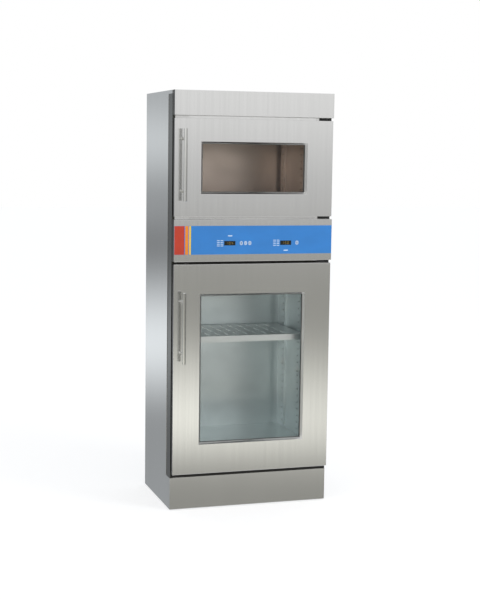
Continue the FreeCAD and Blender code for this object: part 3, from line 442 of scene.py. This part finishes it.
def repeated(model, name, shift):
    """A copy of a finished piece, with its own mesh, moved by a shift."""
    copy = model.copy()
    copy.data = model.data.copy()
    copy.data.transform(Matrix.Translation(Vector(shift)))
    copy.name = name
    copy.data.name = name
    bpy.context.scene.collection.objects.link(copy)
    return copy


def joined(parts, name):
    """Several pieces made one."""
    deselect()
    for part in parts:
        part.select_set(True)
    bpy.context.view_layer.objects.active = parts[0]
    bpy.ops.object.join()
    parts[0].name = name
    parts[0].data.name = name
    return parts[0]


def mount(obj, body, material):
    """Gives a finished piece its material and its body."""
    obj.data.materials.clear()
    obj.data.materials.append(material)
    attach(obj, body)


def film_face():
    """Y of the printed film's front."""
    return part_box("control_overlay")[0].y


def middle(node):
    """Middle of a CAD node's box."""
    low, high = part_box(node)
    return (low + high) / 2


# ---------------------------------------------------------------------------
# Operators: finishes of the cabinet's own pieces
# ---------------------------------------------------------------------------

class CABINET_OT_case(Operator):
    """Finishes the case: side, back, top and kick sheets and the two fascias"""
    bl_idname = "cabinet.case"
    bl_label = "Case"

    def execute(self, context):
        dress(["left_side_panel", "right_side_panel", "back_panel", "top_cover", "kick_panel"],
              finish("Brushed_Stainless_Sheet", brushed_sheet))
        dress(["control_panel", "header_panel"],
              finish("Brushed_Stainless_Fascia", pressed_sheet("control_panel")))
        return {"FINISHED"}


class CABINET_OT_structure(Operator):
    """Finishes the face frame, plinth frame, deck and levelling feet"""
    bl_idname = "cabinet.structure"
    bl_label = "Frame and plinth"

    def execute(self, context):
        # The stiles carry painted shade on their returns and outer edges
        dress(["left_stile", "right_stile"], finish("Mill_Finish_Stainless", stile_sheet))
        dress(["frame_rails"], finish("Brushed_Stainless_Rail", brushed_sheet))
        dress(["base_frame", "base_deck", "control_chassis", "chassis_ends"],
              finish("Galvanised_Sheet", zinc_plate))
        dress([f"foot_{end}_{side}" for end in ("front", "rear") for side in ("left", "right")],
              finish("Zinc_Plated_Foot", zinc_thread))
        return {"FINISHED"}


class CABINET_OT_chambers(Operator):
    """Finishes the chambers: liners, standards, shelf, clips, heating mats and insulation"""
    bl_idname = "cabinet.chambers"
    bl_label = "Chambers"

    def execute(self, context):
        tone = hues()
        lower = finish("Satin_Stainless_Liner", satin_liner(list(tone.liner_steel)))
        # The upper liner is a darker copy of the chamber steel: painted shade
        upper = finish("Heat_Tinted_Stainless_Liner", satin_liner(list(tone.upper_steel_shaded)))
        dress(["lower_liner", "lower_standards"], lower)
        dress(["shelf", "shelf_clips"], finish("Satin_Stainless_Shelf", satin_liner(list(tone.shelf_steel))))
        dress(["upper_liner", "upper_standards"], upper)
        dress(["upper_heater_mat", "lower_heater_mat"], finish("Aluminium_Foil_Mat", foil))
        dress(["upper_insulation", "lower_insulation"], finish("Mineral_Wool", mineral_wool))
        return {"FINISHED"}


class CABINET_OT_doors(Operator):
    """Finishes the doors: skins, inner pans, glass, gaskets, seals, handles, bushes and hinges"""
    bl_idname = "cabinet.doors"
    bl_label = "Doors"

    def execute(self, context):
        finishes = {
            "skin": finish("Brushed_Stainless_Door", pressed_sheet("upper_door_skin")),
            "inner_pan": finish("Satin_Stainless_Door_Pan", satin_liner(list(hues().liner_steel))),
            "window_gasket": finish("Silicone_Gasket", grey_silicone),
            "seal": finish("Vinyl_Magnetic_Seal", black_vinyl),
            "handle_bar": finish("Polished_Stainless_Handle", polished_bar),
            "bushes": finish("Moulded_Nylon_Bush", moulded_nylon),
            "top_hinge": finish("Black_Powder_Coat", powder_black),
        }
        finishes["handle_posts"] = finishes["handle_bar"]
        finishes["bottom_hinge"] = finishes["top_hinge"]
        for door, cover in (("upper", 0.008), ("lower", 0.018)):
            pane = finish(f"Float_Glass_{door.capitalize()}", window_pane(cover))
            finishes |= {"outer_glass": pane, "inner_glass": pane}
            for part, material in finishes.items():
                dress([f"{door}_door_{part}"], material)
        return {"FINISHED"}


class CABINET_OT_controls(Operator):
    """Finishes the control panel's film, displays, keys and boards, and the mains inlet"""
    bl_idname = "cabinet.controls"
    bl_label = "Controls"

    def execute(self, context):
        dress(["control_overlay"], finish("Printed_Polyester_Film", printed_film(list(hues().film))))
        dress(["upper_display", "lower_display"], finish("Smoked_Acrylic_Lens", smoked_lens))
        dress(["upper_menu_key", "upper_minus_key", "upper_plus_key", "lower_menu_key"],
              finish("Silicone_Key", soft_key))
        dress(["upper_controller", "lower_controller"], finish("Circuit_Board", circuit_board))
        dress(["power_inlet"], finish("Moulded_Nylon_Inlet", moulded_nylon))
        return {"FINISHED"}


# ---------------------------------------------------------------------------
# Operators: new pieces
# ---------------------------------------------------------------------------

class CABINET_OT_colour_bars(Operator):
    """Prints the red, orange and yellow bars at the film's left end"""
    bl_idname = "cabinet.colour_bars"
    bl_label = "Colour bars"

    def execute(self, context):
        size, tone = sizes(), hues()
        low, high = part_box("control_overlay")
        margin, corner = 0.4 * MM, 1.2 * MM
        left, height = low.x + margin, high.z - low.z - 2 * margin
        bars = (("red", size.red_bar, tone.red), ("orange", size.orange_bar, tone.orange),
                ("yellow", size.yellow_bar, tone.yellow))
        for name, width, ink in bars:
            bar = mark(f"film_{name}_bar", left + width / 2, (low.z + high.z) / 2, width, height,
                       corner, film_face(), size.print_thickness)
            mount(bar, "cabinet",
                  finish(f"Screen_Ink_{name.capitalize()}", printed_film(list(ink))))
            left += width + size.bar_gap
        return {"FINISHED"}


class CABINET_OT_legends(Operator):
    """Prints the pale legend marks beside, over and under the displays"""
    bl_idname = "cabinet.legends"
    bl_label = "Legends"

    def execute(self, context):
        size = sizes()
        ink = finish("Screen_Ink_Pale", printed_film(list(hues().legend)))
        rows, columns = 4, 2
        across, down = size.legend_width + 3.5 * MM, 8 * MM
        # From the display's middle to the nearer column
        reach = 37 * MM
        label_width, label_height, label_shift = 21 * MM, 5 * MM, 1 * MM
        for chamber, label_rise in (("upper", 33 * MM), ("lower", -34 * MM)):
            lens = middle(f"{chamber}_display")
            first = mark("legend_model", lens.x - reach, lens.z + (rows - 1) / 2 * down,
                         size.legend_width, size.legend_height, size.legend_height * 0.3,
                         film_face(), size.print_thickness)
            marks = [first] + [repeated(first, "legend_copy", (-column * across, 0, -row * down))
                               for column in range(columns) for row in range(rows) if column or row]
            marks.append(mark("legend_label", lens.x + label_shift, lens.z + label_rise, label_width,
                              label_height, label_height * 0.4, film_face(), size.print_thickness))
            mount(joined(marks, f"{chamber}_legends"), "cabinet", ink)
        return {"FINISHED"}


# Segments that each digit lights, lettered clockwise from the top, with g in the middle
SEGMENTS = {"0": "abcdef", "1": "bc", "2": "abdeg", "3": "abcdg", "4": "bcfg", "5": "acdfg",
            "6": "acdefg", "7": "abc", "8": "abcdefg", "9": "abcdfg"}


class CABINET_OT_digits(Operator):
    """Makes the seven-segment digits on the two displays"""
    bl_idname = "cabinet.digits"
    bl_label = "Digits"

    def execute(self, context):
        lit = finish("Amber_Segment_Lit", lit_segment)
        unlit = finish("Amber_Segment_Dark", printed_film(list(hues().digit_dark)))
        for chamber, shown in (("upper", "104"), ("lower", "150")):
            bars = {True: [], False: []}
            models = self.models(chamber)
            for place, digit in enumerate(shown):
                for segment in "abcdefg":
                    bars[segment in SEGMENTS[digit]].append(self.bar(models, place - 1, segment))
            for model in models.values():
                bpy.data.objects.remove(model)
            mount(joined(bars[True], f"{chamber}_digits_lit"), "cabinet", lit)
            mount(joined(bars[False], f"{chamber}_digits_unlit"), "cabinet", unlit)
        return {"FINISHED"}

    def models(self, chamber):
        """One level and one upright bar, with pointed ends, at the display's middle."""
        size, lens = sizes(), middle(f"{chamber}_display")
        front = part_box(f"{chamber}_display")[0].y
        line = size.segment_width
        gap, point = line * 1.25, line * 0.46
        run, rise = size.digit_width - gap, size.digit_height / 2 - gap
        return {
            True: mark("level_bar", lens.x, lens.z, run, line, point, front, size.print_thickness, 1),
            False: mark("upright_bar", lens.x, lens.z, line, rise, point, front,
                        size.print_thickness, 1),
        }

    def bar(self, models, place, segment):
        """One segment of the digit that stands so many places from the display's middle."""
        size = sizes()
        wide, high = (size.digit_width - size.segment_width) / 2, (size.digit_height - size.segment_width) / 2
        x, z = {"a": (0, high), "b": (wide, high / 2), "c": (wide, -high / 2), "d": (0, -high),
                "e": (-wide, -high / 2), "f": (-wide, high / 2), "g": (0, 0)}[segment]
        pitch = size.digit_width * 1.7
        return repeated(models[segment in "adg"], "bar", (place * pitch + x, 0, z))


class CABINET_OT_key_symbols(Operator):
    """Prints a symbol on each key: three lines, a minus or a plus"""
    bl_idname = "cabinet.key_symbols"
    bl_label = "Key symbols"

    def execute(self, context):
        ink = finish("Screen_Ink_Navy", printed_film(linear("#2A4B78")))
        for chamber, key in (("upper", "menu"), ("upper", "minus"), ("upper", "plus"), ("lower", "menu")):
            node = f"{chamber}_{key}_key"
            symbol = self.symbol(key, middle(node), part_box(node)[0].y)
            symbol.name = f"{chamber}_{key}_symbol"
            mount(symbol, f"key_{chamber}_{key}", ink)
        return {"FINISHED"}

    def symbol(self, key, centre, face):
        """Three lines, a minus or a plus, on a key's face."""
        size = sizes()
        width, line, thick = size.symbol_size, size.symbol_line, size.print_thickness
        if key == "plus":
            plus = mark("plus", centre.x, centre.z, line, line, line * 0.05, face, thick, 1)
            choose(plus, "faces", lambda part: abs(part.normal.y) < 0.1
                   and part.calc_area() > 0.5 * line * thick)
            arm = (width - line) / 2
            bpy.ops.mesh.extrude_faces_move(TRANSFORM_OT_shrink_fatten={"value": arm})
            return settle(plus, "plus")
        bar = mark("bar", centre.x, centre.z, width, line, line * 0.3, face, thick)
        if key == "minus":
            return bar
        gap = line * 2
        return joined([bar, repeated(bar, "bar", (0, 0, gap)), repeated(bar, "bar", (0, 0, -gap))], "bars")


class CABINET_OT_collars(Operator):
    """Makes the turned collar where each handle post meets its door"""
    bl_idname = "cabinet.collars"
    bl_label = "Handle collars"

    def execute(self, context):
        size = sizes()
        clearance = 0.05 * MM
        material = finish("Polished_Stainless_Collar", polished_bar)
        for door in DOORS:
            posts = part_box(f"{door}_door_handle_posts")
            radius = (posts[1].x - posts[0].x) / 2
            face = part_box(f"{door}_door_skin")[0].y
            x = (posts[0].x + posts[1].x) / 2
            spacing = posts[1].z - posts[0].z - 2 * radius
            low = self.collar((x, face, posts[0].z + radius), radius + clearance,
                              size.collar_radius, size.collar_height)
            pair = joined([low, repeated(low, "collar", (0, 0, spacing))], f"{door}_handle_collars")
            mount(pair, f"{door}_door", material)
        return {"FINISHED"}

    def collar(self, place, bore, radius, height):
        """A ring that stands on the door round its post, rounded at its outer rim."""
        deselect()
        bpy.ops.mesh.primitive_circle_add(vertices=32, radius=bore, location=place,
                                          rotation=(math.radians(90), 0, 0))
        ring = bpy.context.object
        bpy.ops.object.transform_apply(location=False, rotation=True, scale=False)
        choose(ring, "edges", lambda edge: True)
        bpy.ops.mesh.extrude_region_move()
        bpy.ops.transform.resize(value=(radius / bore,) * 3, center_override=place)
        bpy.ops.mesh.select_all(action="SELECT")
        bpy.ops.mesh.extrude_region_move(TRANSFORM_OT_translate={"value": (0, -height, 0)})
        bpy.ops.mesh.select_all(action="SELECT")
        bpy.ops.mesh.normals_make_consistent(inside=False)
        choose(ring, "edges", lambda edge: all(
            abs(math.hypot(end.co.x, end.co.z) - radius) < 0.01 * MM
            and end.co.y < -height * 0.9 for end in edge.verts))
        bpy.ops.mesh.bevel(offset=height * 0.45, segments=3, affect="EDGES")
        return settle(ring, "collar")


class CABINET_OT_gap_shade_strips(Operator):
    """Makes the black strips, a painted shade, that darken the gaps over the plinth and under the control
    panel
    """
    bl_idname = "cabinet.draught_strips"
    bl_label = "Draught strips"

    def execute(self, context):
        size = sizes()
        material = finish("Foam_Rubber_Strip", gap_shade_black)
        door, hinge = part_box("lower_door_skin"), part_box("lower_door_bottom_hinge")
        side_gap, hinge_gap, plinth_gap = 4 * MM, 2 * MM, 1.5 * MM
        door_gap, close_gap = 3 * MM, 0.5 * MM
        start, end = door[0].x + side_gap, hinge[0].x - hinge_gap
        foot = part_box("kick_panel")[1].z + plinth_gap
        # Painted shade: black strips stand where the gaps lie in shade
        over = self.strip("control_gap_strip", start, end, door[1].z + close_gap,
                          door[1].z + size.strip_height)
        under = self.strip("plinth_gap_strip", start, end, foot, door[0].z - door_gap)
        # The lower strip is notched and runs on under the hinge's bracket
        notched = self.strip("notched_end", end, hinge[1].x, foot, hinge[0].z - close_gap)
        for strip in (over, joined([under, notched], "plinth_gap_strip")):
            mount(strip, "cabinet", material)
        return {"FINISHED"}

    def strip(self, name, left, right, low, high):
        """A strip on the face frame's rails, given by its edges."""
        corner = 1.2 * MM
        return mark(name, (left + right) / 2, (low + high) / 2, right - left, high - low, corner,
                    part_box("frame_rails")[0].y, sizes().strip_depth)


class CABINET_OT_back_screws(Operator):
    """Makes the pan-head screws that hold the back panel"""
    bl_idname = "cabinet.back_screws"
    bl_label = "Back screws"

    def execute(self, context):
        low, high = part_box("back_panel")
        # How far the screws stand in from the panel's sides, foot and top
        inset, foot, top = 9.5 * MM, 30 * MM, 20 * MM
        rows, spacing = 7, 180 * MM
        start, end = low.z + foot, high.z - top
        places = [(side * (high.x - inset), start + (end - start) * row / (rows - 1))
                  for side in (-1, 1) for row in range(rows)]
        places += [(column * spacing, start) for column in (-1, 0, 1)]
        model = self.screw((places[0][0], high.y, places[0][1]))
        material = finish("Stainless_Screw", polished_bar)
        for number, (x, z) in enumerate(places):
            screw = model if number == 0 else repeated(
                model, "screw", (x - places[0][0], 0, z - places[0][1]))
            screw.name = f"back_screw_{number + 1:02d}"
            screw.data.name = screw.name
            mount(screw, "cabinet", material)
        return {"FINISHED"}

    def screw(self, place):
        """A domed head with a socket sunk in it, with as many sides as the head."""
        size = sizes()
        deselect()
        x, y, z = place
        bpy.ops.mesh.primitive_cylinder_add(
            vertices=size.screw_sides, radius=size.screw_radius, depth=size.screw_height,
            location=(x, y + size.screw_height / 2, z), rotation=(math.radians(-90), 0, 0))
        head = bpy.context.object
        bpy.ops.object.transform_apply(location=False, rotation=True, scale=False)
        choose(head, "edges", lambda part: all(end.co.y > 0 for end in part.verts)
               and len(part.link_faces) == 2)
        bpy.ops.mesh.bevel(offset=size.screw_height * 0.7, segments=4, affect="EDGES")
        choose(head, "faces", lambda part: part.normal.y > 0.99)
        bpy.ops.mesh.inset(thickness=size.screw_radius * 0.12)
        bpy.ops.mesh.extrude_region_move(
            TRANSFORM_OT_translate={"value": (0, -size.screw_height * 0.55, 0)})
        return settle(head, "screw")


class CABINET_OT_louvres(Operator):
    """Makes the pressed hoods over the vent slots in the back panel"""
    bl_idname = "cabinet.louvres"
    bl_label = "Louvre hoods"

    def execute(self, context):
        first, *others = self.slots()
        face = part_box("back_panel")[1].y
        material = finish("Brushed_Stainless_Louvre", brushed_sheet)
        hoods = [self.hood(*first, face, sizes().louvre_rise)]
        for slot in others:
            hoods.append(repeated(hoods[0], "hood", (slot[0] - first[0], 0, 0)))
        mount(joined(hoods, "louvre_hoods"), "cabinet", material)
        return {"FINISHED"}

    def slots(self):
        """Left, right, low and high edge of each vent slot, read from the back panel's own corners."""
        low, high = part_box("back_panel")
        rim = 50 * MM
        inner = [point.co for point in NODES["back_panel"].data.vertices
                 if low.z + rim < point.co.z < high.z - rim and 0 < point.co.x < high.x - rim]
        across = sorted({round(point.x, 4) for point in inner})
        up = sorted({round(point.z, 4) for point in inner})
        return [(across[number], across[number + 1], up[0], up[-1])
                for number in range(0, len(across) - 1, 2)]

    def hood(self, left, right, low, high, face, rise):
        """A long half-drop pressed out of the sheet, open along one side."""
        deselect()
        lap, wall = 1.5 * MM, 0.8 * MM
        width, tall = (right - left) * 1.9, high - low + 5 * MM
        bpy.ops.mesh.primitive_cube_add(size=1, location=(left - lap + width / 2, face + rise / 2,
                                                          (low + high) / 2))
        hood = bpy.context.object
        hood.scale = (width, rise, tall)
        bpy.ops.object.transform_apply(location=False, rotation=False, scale=True)
        choose(hood, "edges", lambda edge: all(end.co.y > 0 for end in edge.verts)
               and (runs_along(edge, 0) or (runs_along(edge, 2) and edge.verts[0].co.x < 0)))
        bpy.ops.mesh.bevel(offset=rise * 0.85, segments=4, affect="EDGES")
        choose(hood, "faces", lambda part: part.normal.y < -0.99)
        bpy.ops.mesh.delete(type="FACE")
        choose(hood, "faces", lambda part: part.normal.x > 0.99)
        bpy.ops.mesh.delete(type="FACE")
        bpy.ops.object.mode_set(mode="OBJECT")
        sheet = hood.modifiers.new("Sheet", "SOLIDIFY")
        sheet.thickness = wall
        sheet.offset = -1
        bpy.ops.object.modifier_apply(modifier=sheet.name)
        return settle(hood, "hood")


# ---------------------------------------------------------------------------
# Operator: the studio
# ---------------------------------------------------------------------------

# Light of the studio's front and back halves: by the height of the direction, from straight down
# to straight up, and by its side, from the left wall to the right
FRONT_HEIGHTS = ((-1.0, 0.95), (-0.42, 0.95), (-0.29, 0.335), (-0.242, 0.3), (-0.218, 1.34), (-0.205, 1.29),
                 (-0.13, 0.355), (-0.1, 0.36), (-0.035, 0.62), (0.04, 0.93), (0.3, 0.95), (1.0, 1.0))
BACK_HEIGHTS = ((-1.0, 0.9), (-0.42, 0.85), (-0.29, 0.40), (-0.21, 0.37), (-0.148, 1.0), (-0.073, 0.275),
                (-0.04, 0.39), (0.008, 0.74), (0.045, 0.53), (1.0, 1.0))
FRONT_SIDES = ((-1.0, 1.5), (-0.7, 1.35), (-0.5, 1.0), (0.2, 0.97), (0.4, 1.02), (0.55, 1.0), (0.75, 0.5),
               (1.0, 0.7))
BACK_SIDES = ((-1.0, 0.5), (-0.6, 0.5), (-0.4, 1.0), (0.4, 1.0), (0.7, 0.8), (1.0, 0.7))

# The front half has a warm band a little under the horizon, and the band's core is dimmer to the
# right. Both reaches are heights above and below the band's middle.
BAND_MIDDLE = -0.2
BAND_REACH = (0.11, 0.155)
CORE_REACH = (0.035, 0.075)
CORE_SIDES = (0.27, 0.38)
CORE_LOSS = 0.26

WHITE = (1.0, 1.0, 1.0, 1.0)
BLACK = (0.0, 0.0, 0.0, 1.0)
WARM_TINT = (1.0, 0.995, 0.92, 1.0)
COOL_TINT = (0.955, 1.0, 1.035, 1.0)

CAMERA_PLACE = (-1.8047, -5.7479, 1.6294)
CAMERA_LENS = 77.41
# Degrees that it is turned to the right, lifted and rolled
CAMERA_ANGLES = (17.5226, -6.5945, 0.7654)


class CABINET_OT_stage(Operator):
    """Makes the studio: floor, soft lamps, surroundings and the camera"""
    bl_idname = "cabinet.stage"
    bl_label = "Studio"

    def execute(self, context):
        self.floor()
        self.surroundings()
        self.lamp("key_lamp", place=(3.3, -3.8, 2.5), target=(0, 0, 0.9), size=2.2, power=85)
        self.lamp("fill_lamp", place=(-3.2, -2.6, 3.4), target=(0, 0, 1.0), size=2.6, power=6)
        self.camera()
        context.scene.view_settings.view_transform = "Standard"
        return {"FINISHED"}

    def floor(self):
        """Pale floor, which the camera sees nearly white, with the cabinet's shadow on it."""
        deselect()
        bpy.ops.mesh.primitive_plane_add(size=60, location=(0, 0, 0))
        floor = bpy.context.object
        floor.name = "studio_floor"
        material = bpy.data.materials.new("Matt_Painted_Floor")
        material.use_nodes = True
        tree = material.node_tree
        tree.nodes.clear()
        plain = add(tree, "BsdfDiffuse", {"Color": (*hues().floor, 1.0)})
        # Half paint, which keeps the shadow, and half plain light
        shaded = add(tree, "BsdfDiffuse", {"Color": (0.55, 0.55, 0.555, 1.0)})
        white = add(tree, "Emission", {"Color": WHITE, "Strength": 0.53})
        seen = add(tree, "AddShader", {0: shaded.outputs[0], 1: white.outputs[0]})
        ray = add(tree, "LightPath")
        mixed = add(tree, "MixShader", {0: ray.outputs["Is Camera Ray"], 1: plain.outputs[0],
                                        2: seen.outputs[0]})
        add(tree, "OutputMaterial", {"Surface": mixed.outputs[0]})
        floor.data.materials.append(material)
        floor.visible_glossy = False

    def surroundings(self):
        """White where the camera looks, and graded walls for the metal to reflect."""
        world = bpy.data.worlds.new("Studio")
        bpy.context.scene.world = world
        world.use_nodes = True
        tree = world.node_tree
        tree.nodes.clear()
        way = add(tree, "SeparateXYZ", {0: add(tree, "TexCoord").outputs["Generated"]})
        outside, loss = self.band(tree, way)
        tint = add(tree, "Mix", {0: outside, 6: WARM_TINT, 7: WHITE}, data_type="RGBA")
        front = self.half(tree, way, FRONT_HEIGHTS, FRONT_SIDES, tint.outputs[2])
        front = add(tree, "Mix", {0: loss, 6: front, 7: BLACK}, data_type="RGBA").outputs[2]
        back = self.half(tree, way, BACK_HEIGHTS, BACK_SIDES, COOL_TINT)
        # The two halves meet softly at the sides
        behind = add(tree, "MapRange", {"Value": way.outputs["Y"], "From Min": -0.2, "From Max": 0.2})
        walls = add(tree, "Mix", {0: behind.outputs["Result"], 6: front, 7: back}, data_type="RGBA")
        ray = add(tree, "LightPath")
        seen = add(tree, "Math", {0: ray.outputs["Is Camera Ray"], 1: ray.outputs["Is Transmission Ray"]},
                   operation="MAXIMUM")
        shown = add(tree, "Mix", {0: seen.outputs[0], 6: walls.outputs[2], 7: WHITE}, data_type="RGBA")
        light = add(tree, "Background", {"Color": shown.outputs[2], "Strength": 1.0})
        add(tree, "OutputWorld", {"Surface": light.outputs[0]})

    def band(self, tree, way):
        """How far outside the warm band a direction is, from 0 to 1, and what its core loses there."""
        above = add(tree, "Math", {0: way.outputs["Z"], 1: BAND_MIDDLE}, operation="SUBTRACT")
        apart = add(tree, "Math", {0: above.outputs[0]}, operation="ABSOLUTE").outputs[0]
        outside = add(tree, "MapRange", {"Value": apart, "From Min": BAND_REACH[0],
                                         "From Max": BAND_REACH[1]})
        core = add(tree, "MapRange", {"Value": apart, "From Min": CORE_REACH[0],
                                      "From Max": CORE_REACH[1], "To Min": 1.0, "To Max": 0.0})
        right = add(tree, "MapRange", {"Value": way.outputs["X"], "From Min": CORE_SIDES[0],
                                       "From Max": CORE_SIDES[1], "To Max": CORE_LOSS})
        loss = add(tree, "Math", {0: core.outputs["Result"], 1: right.outputs["Result"]},
                   operation="MULTIPLY")
        return outside.outputs["Result"], loss.outputs[0]

    def half(self, tree, way, heights, sides, light):
        """Tinted light of one half of the studio, graded by height and then by side."""
        for axis, levels in (("Z", heights), ("X", sides)):
            place = add(tree, "MapRange", {"Value": way.outputs[axis], "From Min": -1.0})
            ramp = add(tree, "ValToRGB", {"Fac": place.outputs["Result"]})
            ramp.color_ramp.interpolation = "EASE"
            stops = ramp.color_ramp.elements
            while len(stops) < len(levels):
                stops.new(1.0)
            for stop, (height, level) in zip(stops, levels):
                stop.position = (height + 1) / 2
                stop.color = (level, level, level, 1.0)
            light = add(tree, "Mix", {0: 1.0, 6: ramp.outputs["Color"], 7: light},
                        data_type="RGBA", blend_type="MULTIPLY").outputs[2]
        return light

    def lamp(self, name, place, target, size, power):
        """A soft round lamp that shines at a target, with its size in metres and its power in watts."""
        light = bpy.data.lights.new(name, "AREA")
        light.shape = "DISK"
        light.size = size
        light.energy = power
        lamp = bpy.data.objects.new(name, light)
        lamp.location = place
        lamp.rotation_euler = (Vector(target) - Vector(place)).to_track_quat("-Z", "Y").to_euler()
        # Polished metal shows the graded walls alone, with no lamp's disc in it
        lamp.visible_glossy = False
        bpy.context.scene.collection.objects.link(lamp)

    def camera(self):
        """Stands left of the cabinet at eye height, a little turned and rolled."""
        turn, lift, roll = (math.radians(angle) for angle in CAMERA_ANGLES)
        ahead = Vector((math.sin(turn) * math.cos(lift), math.cos(turn) * math.cos(lift), math.sin(lift)))
        level = Vector((math.cos(turn), -math.sin(turn), 0))
        above = level.cross(ahead)
        right = level * math.cos(roll) + above * math.sin(roll)
        upward = above * math.cos(roll) - level * math.sin(roll)
        data = bpy.data.cameras.new("camera")
        data.sensor_width = 36
        data.lens = CAMERA_LENS
        camera = bpy.data.objects.new("camera", data)
        turned = Matrix((right, upward, -ahead)).transposed().to_4x4()
        camera.matrix_world = Matrix.Translation(CAMERA_PLACE) @ turned
        bpy.context.scene.collection.objects.link(camera)
        bpy.context.scene.camera = camera


# ---------------------------------------------------------------------------
# Panel, registration and the build
# ---------------------------------------------------------------------------

PIECES = (CABINET_OT_stage, CABINET_OT_case, CABINET_OT_structure, CABINET_OT_chambers,
          CABINET_OT_doors, CABINET_OT_controls, CABINET_OT_colour_bars, CABINET_OT_legends,
          CABINET_OT_digits, CABINET_OT_key_symbols, CABINET_OT_collars, CABINET_OT_gap_shade_strips,
          CABINET_OT_back_screws, CABINET_OT_louvres)


class CABINET_PT_sidebar(Panel):
    """Lists the cabinet's operators, sizes and colours"""
    bl_idname = "CABINET_PT_sidebar"
    bl_label = "Warming Cabinet"
    bl_space_type = "VIEW_3D"
    bl_region_type = "UI"
    bl_category = "Cabinet"

    def draw(self, context):
        column = self.layout.column()
        for piece in PIECES:
            column.operator(piece.bl_idname)
        for group in (sizes(), hues()):
            box = self.layout.box()
            for name in group.__annotations__:
                box.prop(group, name)


CLASSES = (CabinetSizes, CabinetColours, *PIECES, CABINET_PT_sidebar)


def register():
    for item in CLASSES:
        bpy.utils.register_class(item)
    bpy.types.Scene.cabinet_sizes = PointerProperty(type=CabinetSizes)
    bpy.types.Scene.cabinet_colours = PointerProperty(type=CabinetColours)


def unregister():
    del bpy.types.Scene.cabinet_colours
    del bpy.types.Scene.cabinet_sizes
    for item in reversed(CLASSES):
        bpy.utils.unregister_class(item)


def main():
    """Registers the add-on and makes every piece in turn."""
    register()
    for piece in PIECES:
        name = piece.bl_idname.split(".")[1]
        if getattr(bpy.ops.cabinet, name)() != {"FINISHED"}:
            raise RuntimeError(f"{piece.bl_label} couldn't finish")


if __name__ == "__main__":
    main()
